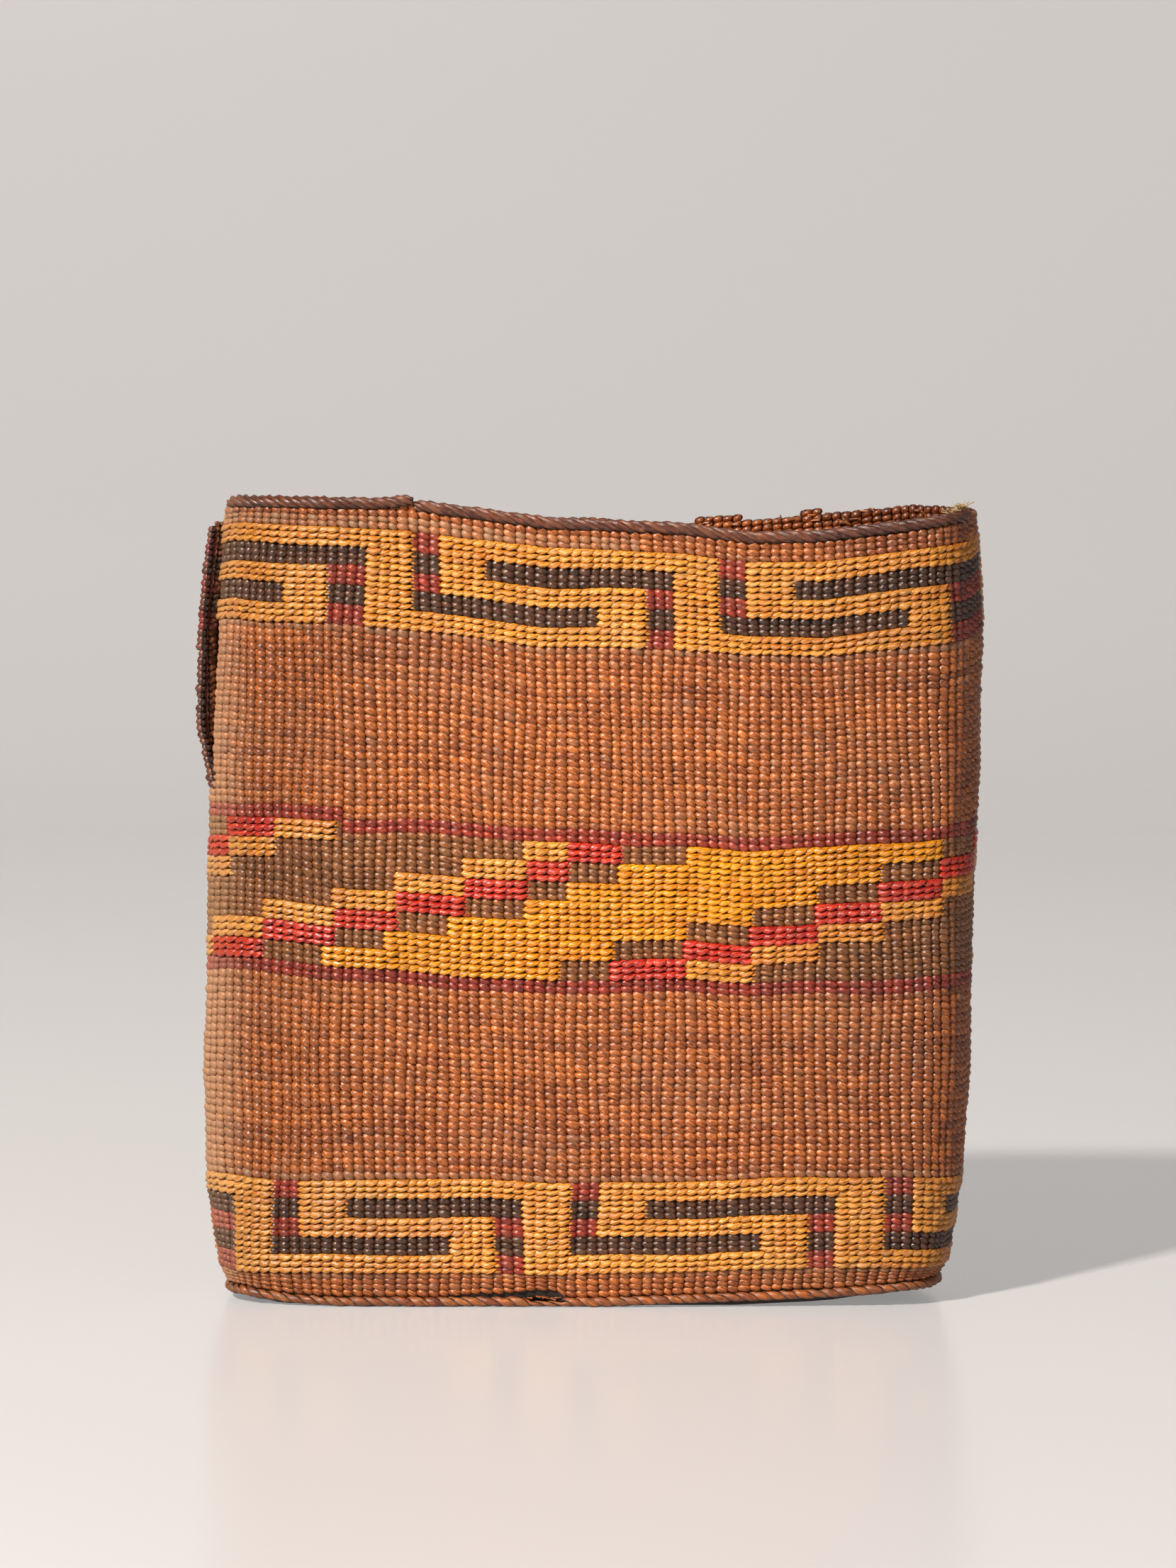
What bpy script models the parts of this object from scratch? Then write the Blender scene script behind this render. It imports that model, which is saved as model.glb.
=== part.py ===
"""Spruce root basket, flattened by age, with a torn left end and a worn back rim.

Metres, +Z up. The patterned front faces -Y and the base rests on z = 0.
Every wall piece is taken from one wall surface, given by a column (one warp)
counted round the basket from the tear, and a row (one weft course) counted up
from the border rope.
"""

import math

import bmesh
import bpy

# Overall sizes
BASKET_WIDTH = 0.2180
BASKET_DEPTH = 0.0490
WALL_TOP = 0.2156
FOOT_TOP = 0.0094
MIDDLE_OFFSET = 0.0011

# Wall and seams, and the upright ribs that the warps raise in the plain courses
WALL_THICKNESS = 0.0025
SEAM_CLEARANCE = 0.0003
RIB_DEPTH = 0.0007

# Heights of one course in each zone
LOWER_BAND_COURSE = 0.00172
UPPER_BAND_COURSE = 0.00178
PLAIN_COURSE = 0.00196
LINE_COURSE = 0.00185
MIDDLE_COURSE = 0.00180

# Ropes and base
BORDER_ROPE_HEIGHT = 0.0027
BORDER_ROPE_WIDTH = 0.0036
RIM_ROPE_HEIGHT = 0.0035
RIM_ROPE_WIDTH = 0.0042
BASE_THICKNESS = 0.0020
BASE_UNDERCUT = 0.0004
BASE_DOME = 0.0030

# Grass strips laid over the wefts
OVERLAY_THICKNESS = 0.0005

# Wear
RIM_SWING = 0.0100
FOOT_SWING = 0.0022
CORNER_LIFT = 0.0046
FOOT_SLIT = 0.0020
TEAR_SPREAD = 0.0052
TEAR_SETBACK = 0.0048
RIM_STEP = 0.0012
COURSE_STEP = 0.0034

# Counts of warps and courses
COLUMNS = 168
FOOT_ROWS = 4
BAND_ROWS = 15
LOWER_PLAIN_ROWS = 27
LINE_ROWS = 2
MIDDLE_ROWS = 21
UPPER_PLAIN_ROWS = 26
COLLAR_ROWS = 3
BLOCK_ROWS = 3
ROPE_SIDES = 8

# Rows at which each zone ends, counted from the border rope
FOOT_END = FOOT_ROWS
LOWER_BAND_END = FOOT_END + BAND_ROWS
LOWER_PLAIN_END = LOWER_BAND_END + LOWER_PLAIN_ROWS
LOWER_LINE_END = LOWER_PLAIN_END + LINE_ROWS
MIDDLE_END = LOWER_LINE_END + MIDDLE_ROWS
UPPER_LINE_END = MIDDLE_END + LINE_ROWS
UPPER_PLAIN_END = UPPER_LINE_END + UPPER_PLAIN_ROWS
UPPER_BAND_END = UPPER_PLAIN_END + BAND_ROWS
TOP_ROW = UPPER_BAND_END + COLLAR_ROWS
BULGE_ROW = 33
TEAR_ROW = 73
TEAR_WIDE_ROW = 83
ROPE_START_COLUMN = 0.4
ROPE_SPLICE_COLUMN = 20.5
ROPE_END_COLUMN = 75.5

# Plan outlines, as shares of half the width and half the depth at key columns
KEY_COLUMNS = (0, 4.5, 12.5, 41, 67, 70, 73, 77, 82, 87, 92, 123, 154, 158.5, 162.5, 165.5)
PLAN_ROWS = (0, FOOT_END, LOWER_BAND_END, BULGE_ROW, LOWER_PLAIN_END, TEAR_ROW, UPPER_PLAIN_END, TOP_ROW)
PLAN_X_SHARES = (
    (-.955, -.900, -.690, .09, .80, .855, .885, .897, .895, .855, .760, 0, -.75, -.865, -.930, -.957),
    (-.975, -.905, -.690, .09, .81, .875, .903, .917, .917, .875, .775, 0, -.76, -.875, -.950, -.985),
    (-1.005, -.900, -.690, .09, .81, .886, .936, .958, .956, .910, .800, 0, -.79, -.905, -.985, -1.015),
    (-1.015, -.900, -.690, .09, .81, .890, .945, .972, .970, .920, .805, 0, -.80, -.915, -.990, -1.024),
    (-1.000, -.893, -.688, .09, .81, .890, .945, .973, .972, .920, .810, 0, -.80, -.915, -.982, -1.010),
    (-.995, -.888, -.680, .09, .80, .880, .942, .987, .990, .940, .830, .02, -.79, -.905, -.975, -1.005),
    (-.985, -.882, -.678, .09, .79, .872, .945, 1.000, 1.000, .950, .845, .03, -.79, -.900, -.970, -.995),
    (-.960, -.862, -.670, .09, .79, .865, .930, .978, .980, .930, .825, .03, -.78, -.885, -.950, -.975),
)
PLAN_Y_SHARES = (
    (-.36, -.66, -.86, -.90, -.88, -.74, -.50, -.18, .20, .58, .80, .85, .80, .66, .38, .06),
    (-.37, -.76, -.96, -.99, -.97, -.82, -.57, -.22, .22, .66, .92, .97, .92, .76, .42, .05),
    (-.34, -.70, -.98, -1.0, -.98, -.90, -.68, -.30, .24, .73, .96, 1.0, .96, .78, .42, .08),
    (-.31, -.68, -.98, -1.0, -.98, -.92, -.71, -.31, .24, .74, .97, 1.0, .96, .78, .42, .08),
    (-.28, -.66, -.98, -1.0, -.98, -.94, -.74, -.33, .24, .74, .97, 1.0, .96, .78, .42, .08),
    (-.22, -.66, -.98, -1.0, -.98, -.98, -.79, -.38, .23, .74, .97, 1.0, .96, .78, .42, .10),
    (-.20, -.66, -.98, -1.0, -.98, -.98, -.80, -.39, .22, .73, .96, 1.0, .96, .78, .42, .12),
    (-.20, -.65, -.97, -.99, -.97, -.97, -.80, -.40, .20, .70, .94, .98, .94, .76, .40, .12),
)
ROUNDING_COLUMNS = 1.8
ROUNDING_STEPS = 9

# Height changes round the basket, as shares at columns
RIM_RISE_SHARES = ((0, .70), (2, .77), (12, .73), (20, .67), (24, .52), (33, .17), (46, .01), (52, -.24),
                   (59, -.19), (68, .13), (74, .34), (77, .59), (80, .70), (86, .88), (92, .93), (101, .66),
                   (108, .50), (114, .41), (130, .36), (142, .43), (154, .31), (162, .35), (168, .33))
FOOT_RISE_SHARES = ((0, -.18), (12, .1), (20, .3), (34, 0), (46, .45), (58, 1), (71, .6), (85, .5),
                    (110, .2), (150, .1), (168, -.18))
BASE_LIFT_SHARES = ((0, .45), (4, .45), (9, .1), (14, 0), (38, 0), (50, .28), (60, .55), (67, .93),
                    (73, 1), (80, .8), (90, .35), (98, 0), (152, 0), (160, .2), (168, .45))
FOOT_SLIT_SHARES = ((0, 0), (23, 0), (26, .3), (30, .55), (32, 1), (34, .9), (35, 0), (168, 0))
TEAR_SPREAD_SHARES = ((0, -.16), (5, 0), (150, 0), (157, -.15), (161, -.35), (163, -.5), (164.5, -.48),
                      (166, -.1), (168, 1))
TEAR_SETBACK_SHARES = ((0, -.12), (5, 0), (150, 0), (157, .07), (164.5, .23), (166, .48), (168, 1))
TEAR_ROW_SHARES = ((0, 0), (TEAR_ROW, 0), (TEAR_WIDE_ROW, .85), (UPPER_PLAIN_END, 1), (TOP_ROW, .8))
STEP_COLUMN_SHARES = ((0, 1), (13.5, 1), (13.95, 0), (92, 0), (150, .9), (168, 1))
STEP_ROW_SHARES = ((0, 0), (LOWER_BAND_END, 0), (LOWER_PLAIN_END, 1), (UPPER_LINE_END, 1),
                   (UPPER_PLAIN_END, .7), (UPPER_BAND_END, .3), (TOP_ROW, 0))
SLOPE_COLUMN_SHARES = ((0, 1), (3, 1), (20, 0), (92, 0), (150, .9), (168, 1))
STEP_SHARPNESS_SHARES = ((0, 0), (54, 0), (64, 1), (74, 1), (84, 0), (TOP_ROW, 0))

# Columns where the wall is cut into facets, closer together where it bends
STATIONS = sorted(set(
    [0, 1.5, 3, 4.5, 6, 8, 10.5, 13.5, 13.95]
    + [13.95 + 3.6 * k for k in range(1, 15)]
    + [66, 68, 69.5, 71, 72.5, 74, 75.5, 77, 79, 81, 83, 85, 87, 89, 91, 93.5]
    + [93.5 + 4.9 * k for k in range(1, 12)]
    + [151, 153, 155, 157, 159, 161, 163, 164.5, 166, 168]
))

# Crests and valleys of the ribs, where no station is close by. The facet that closes the ring has none
STATION_REACH = 0.2
RIB_COLUMNS = [half / 2 for half in range(2 * STATIONS[-2])
               if all(abs(half / 2 - station) > STATION_REACH for station in STATIONS)]

# Units of the two frets, each as the columns of its bar and of its hook's end, and the stepped design
UPPER_FRET_UNITS = ((16, 42), (45, 71), (78, 99), (102, 127), (130, 154), (157, 180))
LOWER_FRET_UNITS = ((3, 28), (31, 57), (60, 85), (88, 113), (116, 141), (144, 166))
FRET_BAR = 4
FRET_HOOK_START = 7
FRET_HOOK_END = 11
YELLOW_STEPS = ((46, 70), (40, 64), (35, 58), (31, 52), (24, 46), (18, 39), (12, 34))
UPPER_STAIR = ((31, 40), (25, 35), (19, 31), (13, 25), (6, 19), (0, 13), (-6, 6))
LOWER_STAIR = ((76, 88), (70, 82), (64, 76), (58, 70), (52, 64), (46, 58), (39, 52))
BACK_UNIT_COLUMNS = ((-4, 77), (8, 87), (76, 170), (82, 175), (88, 181))

# Faces that turn by less than this, in radians, are one flat face
FLAT_ANGLE = 0.0005


def curve(table, place):
    """The value of a table of (place, value) pairs, straight between its entries."""
    for (start, first), (end, last) in zip(table, table[1:]):
        if place <= end:
            break
    return first + (last - first) * (place - start) / (end - start)


def smooth(table, place):
    """As curve, averaged over the rounding span so that corners come out round."""
    total = 0
    for step in range(ROUNDING_STEPS):
        shift = ROUNDING_COLUMNS * (2 * step / (ROUNDING_STEPS - 1) - 1)
        total += curve(table, place + shift)
    return total / ROUNDING_STEPS


def looped(values):
    """Pairs of key column and value, carried on past both ends of the loop."""
    pairs = list(zip(KEY_COLUMNS, values))
    before = [(column - COLUMNS, value) for column, value in pairs[-2:]]
    after = [(column + COLUMNS, value) for column, value in pairs[:2]]
    return before + pairs + after


def shares_at(tables, row):
    """The shares of one row, between those of the plan rows on either side."""
    return [curve(list(zip(PLAN_ROWS, values)), row) for values in zip(*tables)]


def plan_of(row):
    """Outer wall points in plan at every station, for one row."""
    xs = looped(shares_at(PLAN_X_SHARES, row))
    ys = looped(shares_at(PLAN_Y_SHARES, row))
    spread = TEAR_SPREAD * curve(TEAR_ROW_SHARES, row)
    setback = TEAR_SETBACK * curve(TEAR_ROW_SHARES, row)
    points = []
    for column in STATIONS:
        x = MIDDLE_OFFSET + BASKET_WIDTH / 2 * smooth(xs, column)
        x -= spread * curve(TEAR_SPREAD_SHARES, column)
        y = BASKET_DEPTH / 2 * smooth(ys, column) + setback * curve(TEAR_SETBACK_SHARES, column)
        points.append((x, y))
    return points


def normals_of(points, is_open):
    """Offset directions that keep every facet parallel to itself."""
    sides = []
    for (x0, y0), (x1, y1) in zip(points, points[1:]):
        length = math.hypot(x1 - x0, y1 - y0)
        sides.append(((y1 - y0) / length, (x0 - x1) / length))
    normals = []
    for place in range(len(points)):
        before = sides[place - 1] if place else (sides[0] if is_open else sides[-1])
        after = sides[place] if place < len(sides) else (sides[-1] if is_open else sides[0])
        x = before[0] + after[0]
        y = before[1] + after[1]
        stretch = 2 / (x * x + y * y)
        normals.append((x * stretch, y * stretch))
    return normals


LEVEL_ROWS = sorted(PLAN_ROWS + (TEAR_WIDE_ROW,))
PLANS = [plan_of(row) for row in LEVEL_ROWS]
NORMALS = [normals_of(plan, row > TEAR_ROW) for plan, row in zip(PLANS, LEVEL_ROWS)]


def course_height(row):
    """Height of a row above the top of the foot, before the wall is stretched."""
    zones = (
        (FOOT_END, LOWER_BAND_END, LOWER_BAND_COURSE),
        (LOWER_BAND_END, LOWER_PLAIN_END, PLAIN_COURSE),
        (LOWER_PLAIN_END, LOWER_LINE_END, LINE_COURSE),
        (LOWER_LINE_END, MIDDLE_END, MIDDLE_COURSE),
        (MIDDLE_END, UPPER_LINE_END, LINE_COURSE),
        (UPPER_LINE_END, UPPER_PLAIN_END, PLAIN_COURSE),
        (UPPER_PLAIN_END, TOP_ROW, UPPER_BAND_COURSE),
    )
    return sum(course * min(max(row - start, 0), end - start) for start, end, course in zones)


def height_at(column, row):
    """Height of the wall over the floor at a station."""
    base = CORNER_LIFT * curve(BASE_LIFT_SHARES, column)
    rope_top = base + BORDER_ROPE_HEIGHT + SEAM_CLEARANCE
    foot = FOOT_TOP + FOOT_SWING * curve(FOOT_RISE_SHARES, column)
    if row <= FOOT_END:
        return rope_top + (foot - rope_top) * row / FOOT_END
    top = WALL_TOP + RIM_SWING * curve(RIM_RISE_SHARES, column)
    sharp = curve(STEP_SHARPNESS_SHARES, row)
    risen = sharp * curve(STEP_COLUMN_SHARES, column) + (1 - sharp) * curve(SLOPE_COLUMN_SHARES, column)
    step = COURSE_STEP * risen * curve(STEP_ROW_SHARES, row)
    return foot + (top - foot) * course_height(row) / course_height(TOP_ROW) + step


def blend(first, last, share):
    return tuple(a + (b - a) * share for a, b in zip(first, last))


def wall_point(column, row, offset, raised=0):
    """A point of the wall: offset out of its outer face, raised above its row."""
    place = 0
    while place < len(STATIONS) - 2 and column > STATIONS[place + 1]:
        place += 1
    level = 0
    while level < len(LEVEL_ROWS) - 2 and row > LEVEL_ROWS[level + 1]:
        level += 1
    along = (column - STATIONS[place]) / (STATIONS[place + 1] - STATIONS[place])
    up = (row - LEVEL_ROWS[level]) / (LEVEL_ROWS[level + 1] - LEVEL_ROWS[level])
    ends = []
    for station in (place, place + 1):
        spot = blend(PLANS[level][station], PLANS[level + 1][station], up)
        out = blend(NORMALS[level][station], NORMALS[level + 1][station], up)
        height = height_at(STATIONS[station], row) + raised
        ends.append((spot[0] + out[0] * offset, spot[1] + out[1] * offset, height))
    return blend(ends[0], ends[1], along)


def make_object(name, points, faces, colour, roughness):
    """One closed body with its own material, from points and faces. Flat stretches become one face."""
    mesh = bpy.data.meshes.new(name)
    shape = bmesh.new()
    corners = [shape.verts.new(point) for point in points]
    for face in faces:
        shape.faces.new([corners[index] for index in face])
    bmesh.ops.recalc_face_normals(shape, faces=shape.faces)
    bmesh.ops.dissolve_limit(shape, angle_limit=FLAT_ANGLE, verts=shape.verts, edges=shape.edges)
    shape.to_mesh(mesh)
    shape.free()
    material = bpy.data.materials.new(name + "_material")
    material.use_nodes = True
    surface = material.node_tree.nodes["Principled BSDF"]
    surface.inputs["Base Color"].default_value = (*colour, 1)
    surface.inputs["Roughness"].default_value = roughness
    surface.inputs["Metallic"].default_value = 0
    mesh.materials.append(material)
    result = bpy.data.objects.new(name, mesh)
    bpy.context.scene.collection.objects.link(result)
    return result


def between_warps(column):
    """How far a column lies from the crest of its rib: 0 on the warp, 1 halfway to the next one."""
    return abs(2 * (column % 1) - 1)


def shell(name, blocks, inner, outer, colour, roughness, seam=0, slit=None, rib_depth=0):
    """A sheet that follows the wall over blocks of columns and rows.

    The blocks are (first column, last column, first row, last row). The seam is
    taken off the top and the bottom of the sheet. Ribs are cut into its outer
    face, one for each warp.
    """
    columns = set(STATIONS)
    if rib_depth:
        columns |= set(RIB_COLUMNS)
    rows = set()
    spans = []
    for first, last, low, high in blocks:
        rows |= {low, high}
        rows |= {row for row in LEVEL_ROWS if low < row < high}
        while last > COLUMNS and first >= COLUMNS:
            first, last = first - COLUMNS, last - COLUMNS
        while first < 0 and last <= 0:
            first, last = first + COLUMNS, last + COLUMNS
        if first < 0:
            spans.append((first + COLUMNS, COLUMNS, low, high))
            first = 0
        if last > COLUMNS:
            spans.append((0, last - COLUMNS, low, high))
            last = COLUMNS
        spans.append((first, last, low, high))
    for first, last, _, _ in spans:
        columns |= {first, last}
    columns = sorted(columns)
    rows = sorted(rows)
    filled = set()
    for across in range(len(columns) - 1):
        for up in range(len(rows) - 1):
            for first, last, low, high in spans:
                inside = first <= columns[across] and columns[across + 1] <= last
                if inside and low <= rows[up] and rows[up + 1] <= high:
                    filled.add((across, up))
    count = len(columns) - 1
    points = []
    index = {}

    def corner(across, up, side):
        if across == count and rows[up] <= TEAR_ROW:
            across = 0
        key = (across, up, side)
        if key not in index:
            raised = seam if up == 0 else (-seam if up == len(rows) - 1 else 0)
            if slit and up == 0:
                raised += slit(columns[across])
            index[key] = len(points)
            face = outer - rib_depth * between_warps(columns[across]) if side else inner
            points.append(wall_point(columns[across], rows[up], face, raised))
        return index[key]

    def neighbour(across, up):
        if rows[min(up + 1, len(rows) - 1)] <= TEAR_ROW:
            across %= count
        return (across, up) in filled

    faces = []
    for across, up in sorted(filled):
        ring = ((across, up), (across + 1, up), (across + 1, up + 1), (across, up + 1))
        faces.append([corner(*spot, 1) for spot in ring])
        faces.append([corner(*spot, 0) for spot in reversed(ring)])
        beside = ((across, up - 1), (across + 1, up), (across, up + 1), (across - 1, up))
        for step in range(4):
            if not neighbour(*beside[step]):
                start, end = ring[step], ring[(step + 1) % 4]
                faces.append([corner(*start, 0), corner(*end, 0), corner(*end, 1), corner(*start, 1)])
    return make_object(name, points, faces, colour, roughness)


def wall_ring(name, first_row, last_row, colour, roughness, slit=None, rib_depth=0):
    """One zone of courses, all the way round the basket."""
    blocks = [(0, COLUMNS, first_row, last_row)]
    return shell(name, blocks, -WALL_THICKNESS, 0, colour, roughness, SEAM_CLEARANCE / 2, slit, rib_depth)


def overlay(name, blocks, colour, roughness):
    """Grass strips laid over the wefts, just off the outer face of the wall."""
    outer = SEAM_CLEARANCE + OVERLAY_THICKNESS
    return shell(name, blocks, SEAM_CLEARANCE, outer, colour, roughness)


def rope(name, columns, closed, row, lift, height, width, middle, colour, roughness):
    """A rope laid along the wall at a row, its section an oval with flat sides."""
    corner_share = 1 / math.cos(math.pi / ROPE_SIDES)
    points = []
    for column in columns:
        for side in range(ROPE_SIDES):
            turn = 2 * math.pi * (side + 0.5) / ROPE_SIDES
            raised = lift(column) + height / 2 * (1 + corner_share * math.sin(turn))
            out = middle + width / 2 * corner_share * math.cos(turn)
            points.append(wall_point(column, row, out, raised))
    faces = []
    rounds = len(columns)
    for place in range(rounds if closed else rounds - 1):
        following = (place + 1) % rounds
        for side in range(ROPE_SIDES):
            other = (side + 1) % ROPE_SIDES
            faces.append([place * ROPE_SIDES + side, place * ROPE_SIDES + other,
                          following * ROPE_SIDES + other, following * ROPE_SIDES + side])
    if not closed:
        faces.append(list(range(ROPE_SIDES)))
        faces.append(list(range((rounds - 1) * ROPE_SIDES, rounds * ROPE_SIDES)))
    return make_object(name, points, faces, colour, roughness)


def base_lift(column):
    return CORNER_LIFT * curve(BASE_LIFT_SHARES, column)


def foot_slit(column):
    return FOOT_SLIT * curve(FOOT_SLIT_SHARES, column)


def border_drop(column):
    """From the first row down to the underside of the border rope."""
    return height_at(column, 0) - base_lift(column)


def base_panel(name, colour, roughness):
    """The oval base, domed up a little so that the border rope carries the basket."""
    edge_offset = -WALL_THICKNESS / 2 - BORDER_ROPE_WIDTH / 2 - SEAM_CLEARANCE
    rim = []
    for column in STATIONS[:-1]:
        x, y, _ = wall_point(column, 0, edge_offset)
        rim.append((x, y, base_lift(column) + BASE_UNDERCUT))
    ring_shares = ((1, 0), (.8, .5), (.5, .85), (.2, 1))
    points = []
    for top in (0, BASE_THICKNESS):
        for size, dome in ring_shares:
            for x, y, z in rim:
                points.append((x * size, y * size, z * size + BASE_DOME * dome + top))
    count = len(rim)
    rings = len(ring_shares)
    faces = []
    for layer in range(2):
        start = layer * rings * count
        for ring in range(rings - 1):
            for place in range(count):
                following = (place + 1) % count
                a = start + ring * count
                b = a + count
                faces.append([a + place, a + following, b + following, b + place])
        last = start + (rings - 1) * count
        faces.append([last + place for place in range(count)])
    for place in range(count):
        following = (place + 1) % count
        faces.append([place, following, rings * count + following, rings * count + place])
    return make_object(name, points, faces, colour, roughness)


def fret_blocks(units, top_row):
    """The running key fret of one band, as blocks three courses high."""
    rows = [(top_row - BLOCK_ROWS * (step + 1), top_row - BLOCK_ROWS * step) for step in range(5)]
    blocks = []
    for place, (bar, hook_end) in enumerate(units):
        following = units[place + 1][0] if place + 1 < len(units) else units[0][0] + COLUMNS
        blocks.append((bar + FRET_HOOK_START, following + FRET_BAR, *rows[0]))
        blocks.append((bar + FRET_HOOK_START, bar + FRET_HOOK_END, *rows[1]))
        blocks.append((bar + FRET_HOOK_START, hook_end, *rows[2]))
        blocks.append((hook_end - FRET_BAR, hook_end, *rows[3]))
        blocks.append((bar, hook_end, *rows[4]))
        for row in rows[1:4]:
            blocks.append((bar, bar + FRET_BAR, *row))
    return blocks


def stepped_blocks(steps, place_column):
    """A stepped figure of the middle band, one step in each block of courses."""
    blocks = []
    for step, (first, last) in enumerate(steps):
        high = MIDDLE_END - BLOCK_ROWS * step
        blocks.append((place_column(first), place_column(last), high - BLOCK_ROWS, high))
    return blocks


def front_column(column):
    return column


def back_column(column):
    """The back unit is the front one, drawn out to fill the rest of the way round."""
    return round(curve(BACK_UNIT_COLUMNS, column))


def touching(first, second):
    """Whether two blocks share more than a corner, and not through the tear."""
    across = min(first[1], second[1]) - max(first[0], second[0])
    up = min(first[3], second[3]) - max(first[2], second[2])
    return (across > 0 and up >= 0) or (across >= 0 and up > 0)


def pieces_of(blocks):
    """The blocks cut at the tear, sorted into groups that hang together."""
    cut = []
    for first, last, low, high in blocks:
        for shift in (0, -COLUMNS):
            start = max(first + shift, 0)
            end = min(last + shift, COLUMNS)
            if start < end:
                cut.append((start, end, low, high))
    groups = []
    for block in cut:
        near = [group for group in groups if any(touching(block, other) for other in group)]
        joined = [block] + [other for group in near for other in group]
        groups = [group for group in groups if group not in near] + [joined]
    return sorted(groups, key=lambda group: sum(end - start for start, end, _, _ in group), reverse=True)


for stale in list(bpy.data.objects):
    bpy.data.objects.remove(stale, do_unlink=True)

ROOT_BROWN = (0.46, 0.125, 0.030)
BAND_BROWN = (0.13, 0.055, 0.035)
LINE_RED = (0.27, 0.045, 0.026)
MIDDLE_BROWN = (0.24, 0.085, 0.040)
BORDER_RED = (0.33, 0.085, 0.045)
RIM_BROWN = (0.27, 0.085, 0.050)
GRASS_GOLD = (0.75, 0.36, 0.075)
GRASS_YELLOW = (0.87, 0.43, 0.045)
STAIR_RED = (0.62, 0.09, 0.035)
MATT = 0.62
SATIN = 0.45

base_panel("base_panel", ROOT_BROWN, MATT)
rope("base_border", STATIONS[:-1], True, 0, lambda column: -border_drop(column), BORDER_ROPE_HEIGHT,
     BORDER_ROPE_WIDTH, -WALL_THICKNESS / 2, BORDER_RED, MATT)
wall_ring("foot_courses", 0, FOOT_END, ROOT_BROWN, MATT, foot_slit)
wall_ring("lower_band_courses", FOOT_END, LOWER_BAND_END, BAND_BROWN, MATT)
wall_ring("lower_plain_courses", LOWER_BAND_END, LOWER_PLAIN_END, ROOT_BROWN, MATT, rib_depth=RIB_DEPTH)
wall_ring("lower_line_courses", LOWER_PLAIN_END, LOWER_LINE_END, LINE_RED, MATT)
wall_ring("middle_band_courses", LOWER_LINE_END, MIDDLE_END, MIDDLE_BROWN, MATT)
wall_ring("upper_line_courses", MIDDLE_END, UPPER_LINE_END, LINE_RED, MATT)
wall_ring("upper_plain_courses", UPPER_LINE_END, UPPER_PLAIN_END, ROOT_BROWN, MATT, rib_depth=RIB_DEPTH)
wall_ring("upper_band_courses", UPPER_PLAIN_END, UPPER_BAND_END, BAND_BROWN, MATT)
wall_ring("collar_courses", UPPER_BAND_END, TOP_ROW, ROOT_BROWN, MATT)


def rope_stations(first, last):
    inner = [column for column in STATIONS if first + 0.5 < column < last - 0.5]
    return [first] + inner + [last]


def rim_lift(column):
    return SEAM_CLEARANCE / 2


def splice_lift(column):
    """The left rope rides up over the end of the right one."""
    return rim_lift(column) + RIM_STEP * max(0, 1 - (ROPE_SPLICE_COLUMN - column) / FRET_BAR)


rope("rim_rope_left", rope_stations(ROPE_START_COLUMN, ROPE_SPLICE_COLUMN), False, TOP_ROW, splice_lift,
     RIM_ROPE_HEIGHT, RIM_ROPE_WIDTH, -WALL_THICKNESS / 2, RIM_BROWN, MATT)
rope("rim_rope_right", rope_stations(ROPE_SPLICE_COLUMN + 0.15, ROPE_END_COLUMN), False, TOP_ROW, rim_lift,
     RIM_ROPE_HEIGHT, RIM_ROPE_WIDTH, -WALL_THICKNESS / 2, RIM_BROWN, MATT)

overlay("lower_fret_overlay", fret_blocks(LOWER_FRET_UNITS, LOWER_BAND_END), GRASS_GOLD, SATIN)
upper_names = ("upper_fret_overlay", "upper_fret_front_hook", "upper_fret_torn_end")
for piece_name, piece_blocks in zip(upper_names, pieces_of(fret_blocks(UPPER_FRET_UNITS, UPPER_BAND_END))):
    overlay(piece_name, piece_blocks, GRASS_GOLD, SATIN)
for where, column_of in (("front", front_column), ("back", back_column)):
    overlay(where + "_yellow_steps", stepped_blocks(YELLOW_STEPS, column_of), GRASS_YELLOW, SATIN)
    overlay(where + "_upper_stair", stepped_blocks(UPPER_STAIR, column_of), STAIR_RED, SATIN)
    overlay(where + "_lower_stair", stepped_blocks(LOWER_STAIR, column_of), STAIR_RED, SATIN)
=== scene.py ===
"""The finished look of a twined spruce root basket with dyed bands and a grass overlay.

Every stitch is a copy of one small form. It is laid out in columns (the warps) and rows
(the courses), and one function carries columns and rows onto the wall. Lengths are in metres.
"""
import math

import bmesh
import bpy
import numpy as np
from mathutils import Matrix, Vector


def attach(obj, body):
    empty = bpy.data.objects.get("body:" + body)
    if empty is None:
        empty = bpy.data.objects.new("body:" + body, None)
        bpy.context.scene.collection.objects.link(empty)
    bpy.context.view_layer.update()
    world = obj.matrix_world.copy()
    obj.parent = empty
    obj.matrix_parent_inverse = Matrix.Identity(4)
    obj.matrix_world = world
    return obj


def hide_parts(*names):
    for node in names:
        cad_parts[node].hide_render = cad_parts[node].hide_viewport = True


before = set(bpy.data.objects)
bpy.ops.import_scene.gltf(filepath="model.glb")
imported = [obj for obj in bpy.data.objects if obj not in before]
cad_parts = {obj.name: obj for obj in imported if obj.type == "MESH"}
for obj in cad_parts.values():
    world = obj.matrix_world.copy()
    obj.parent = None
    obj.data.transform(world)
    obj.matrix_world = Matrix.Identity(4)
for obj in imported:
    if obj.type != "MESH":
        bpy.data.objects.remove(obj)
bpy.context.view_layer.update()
MM = 0.001

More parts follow.
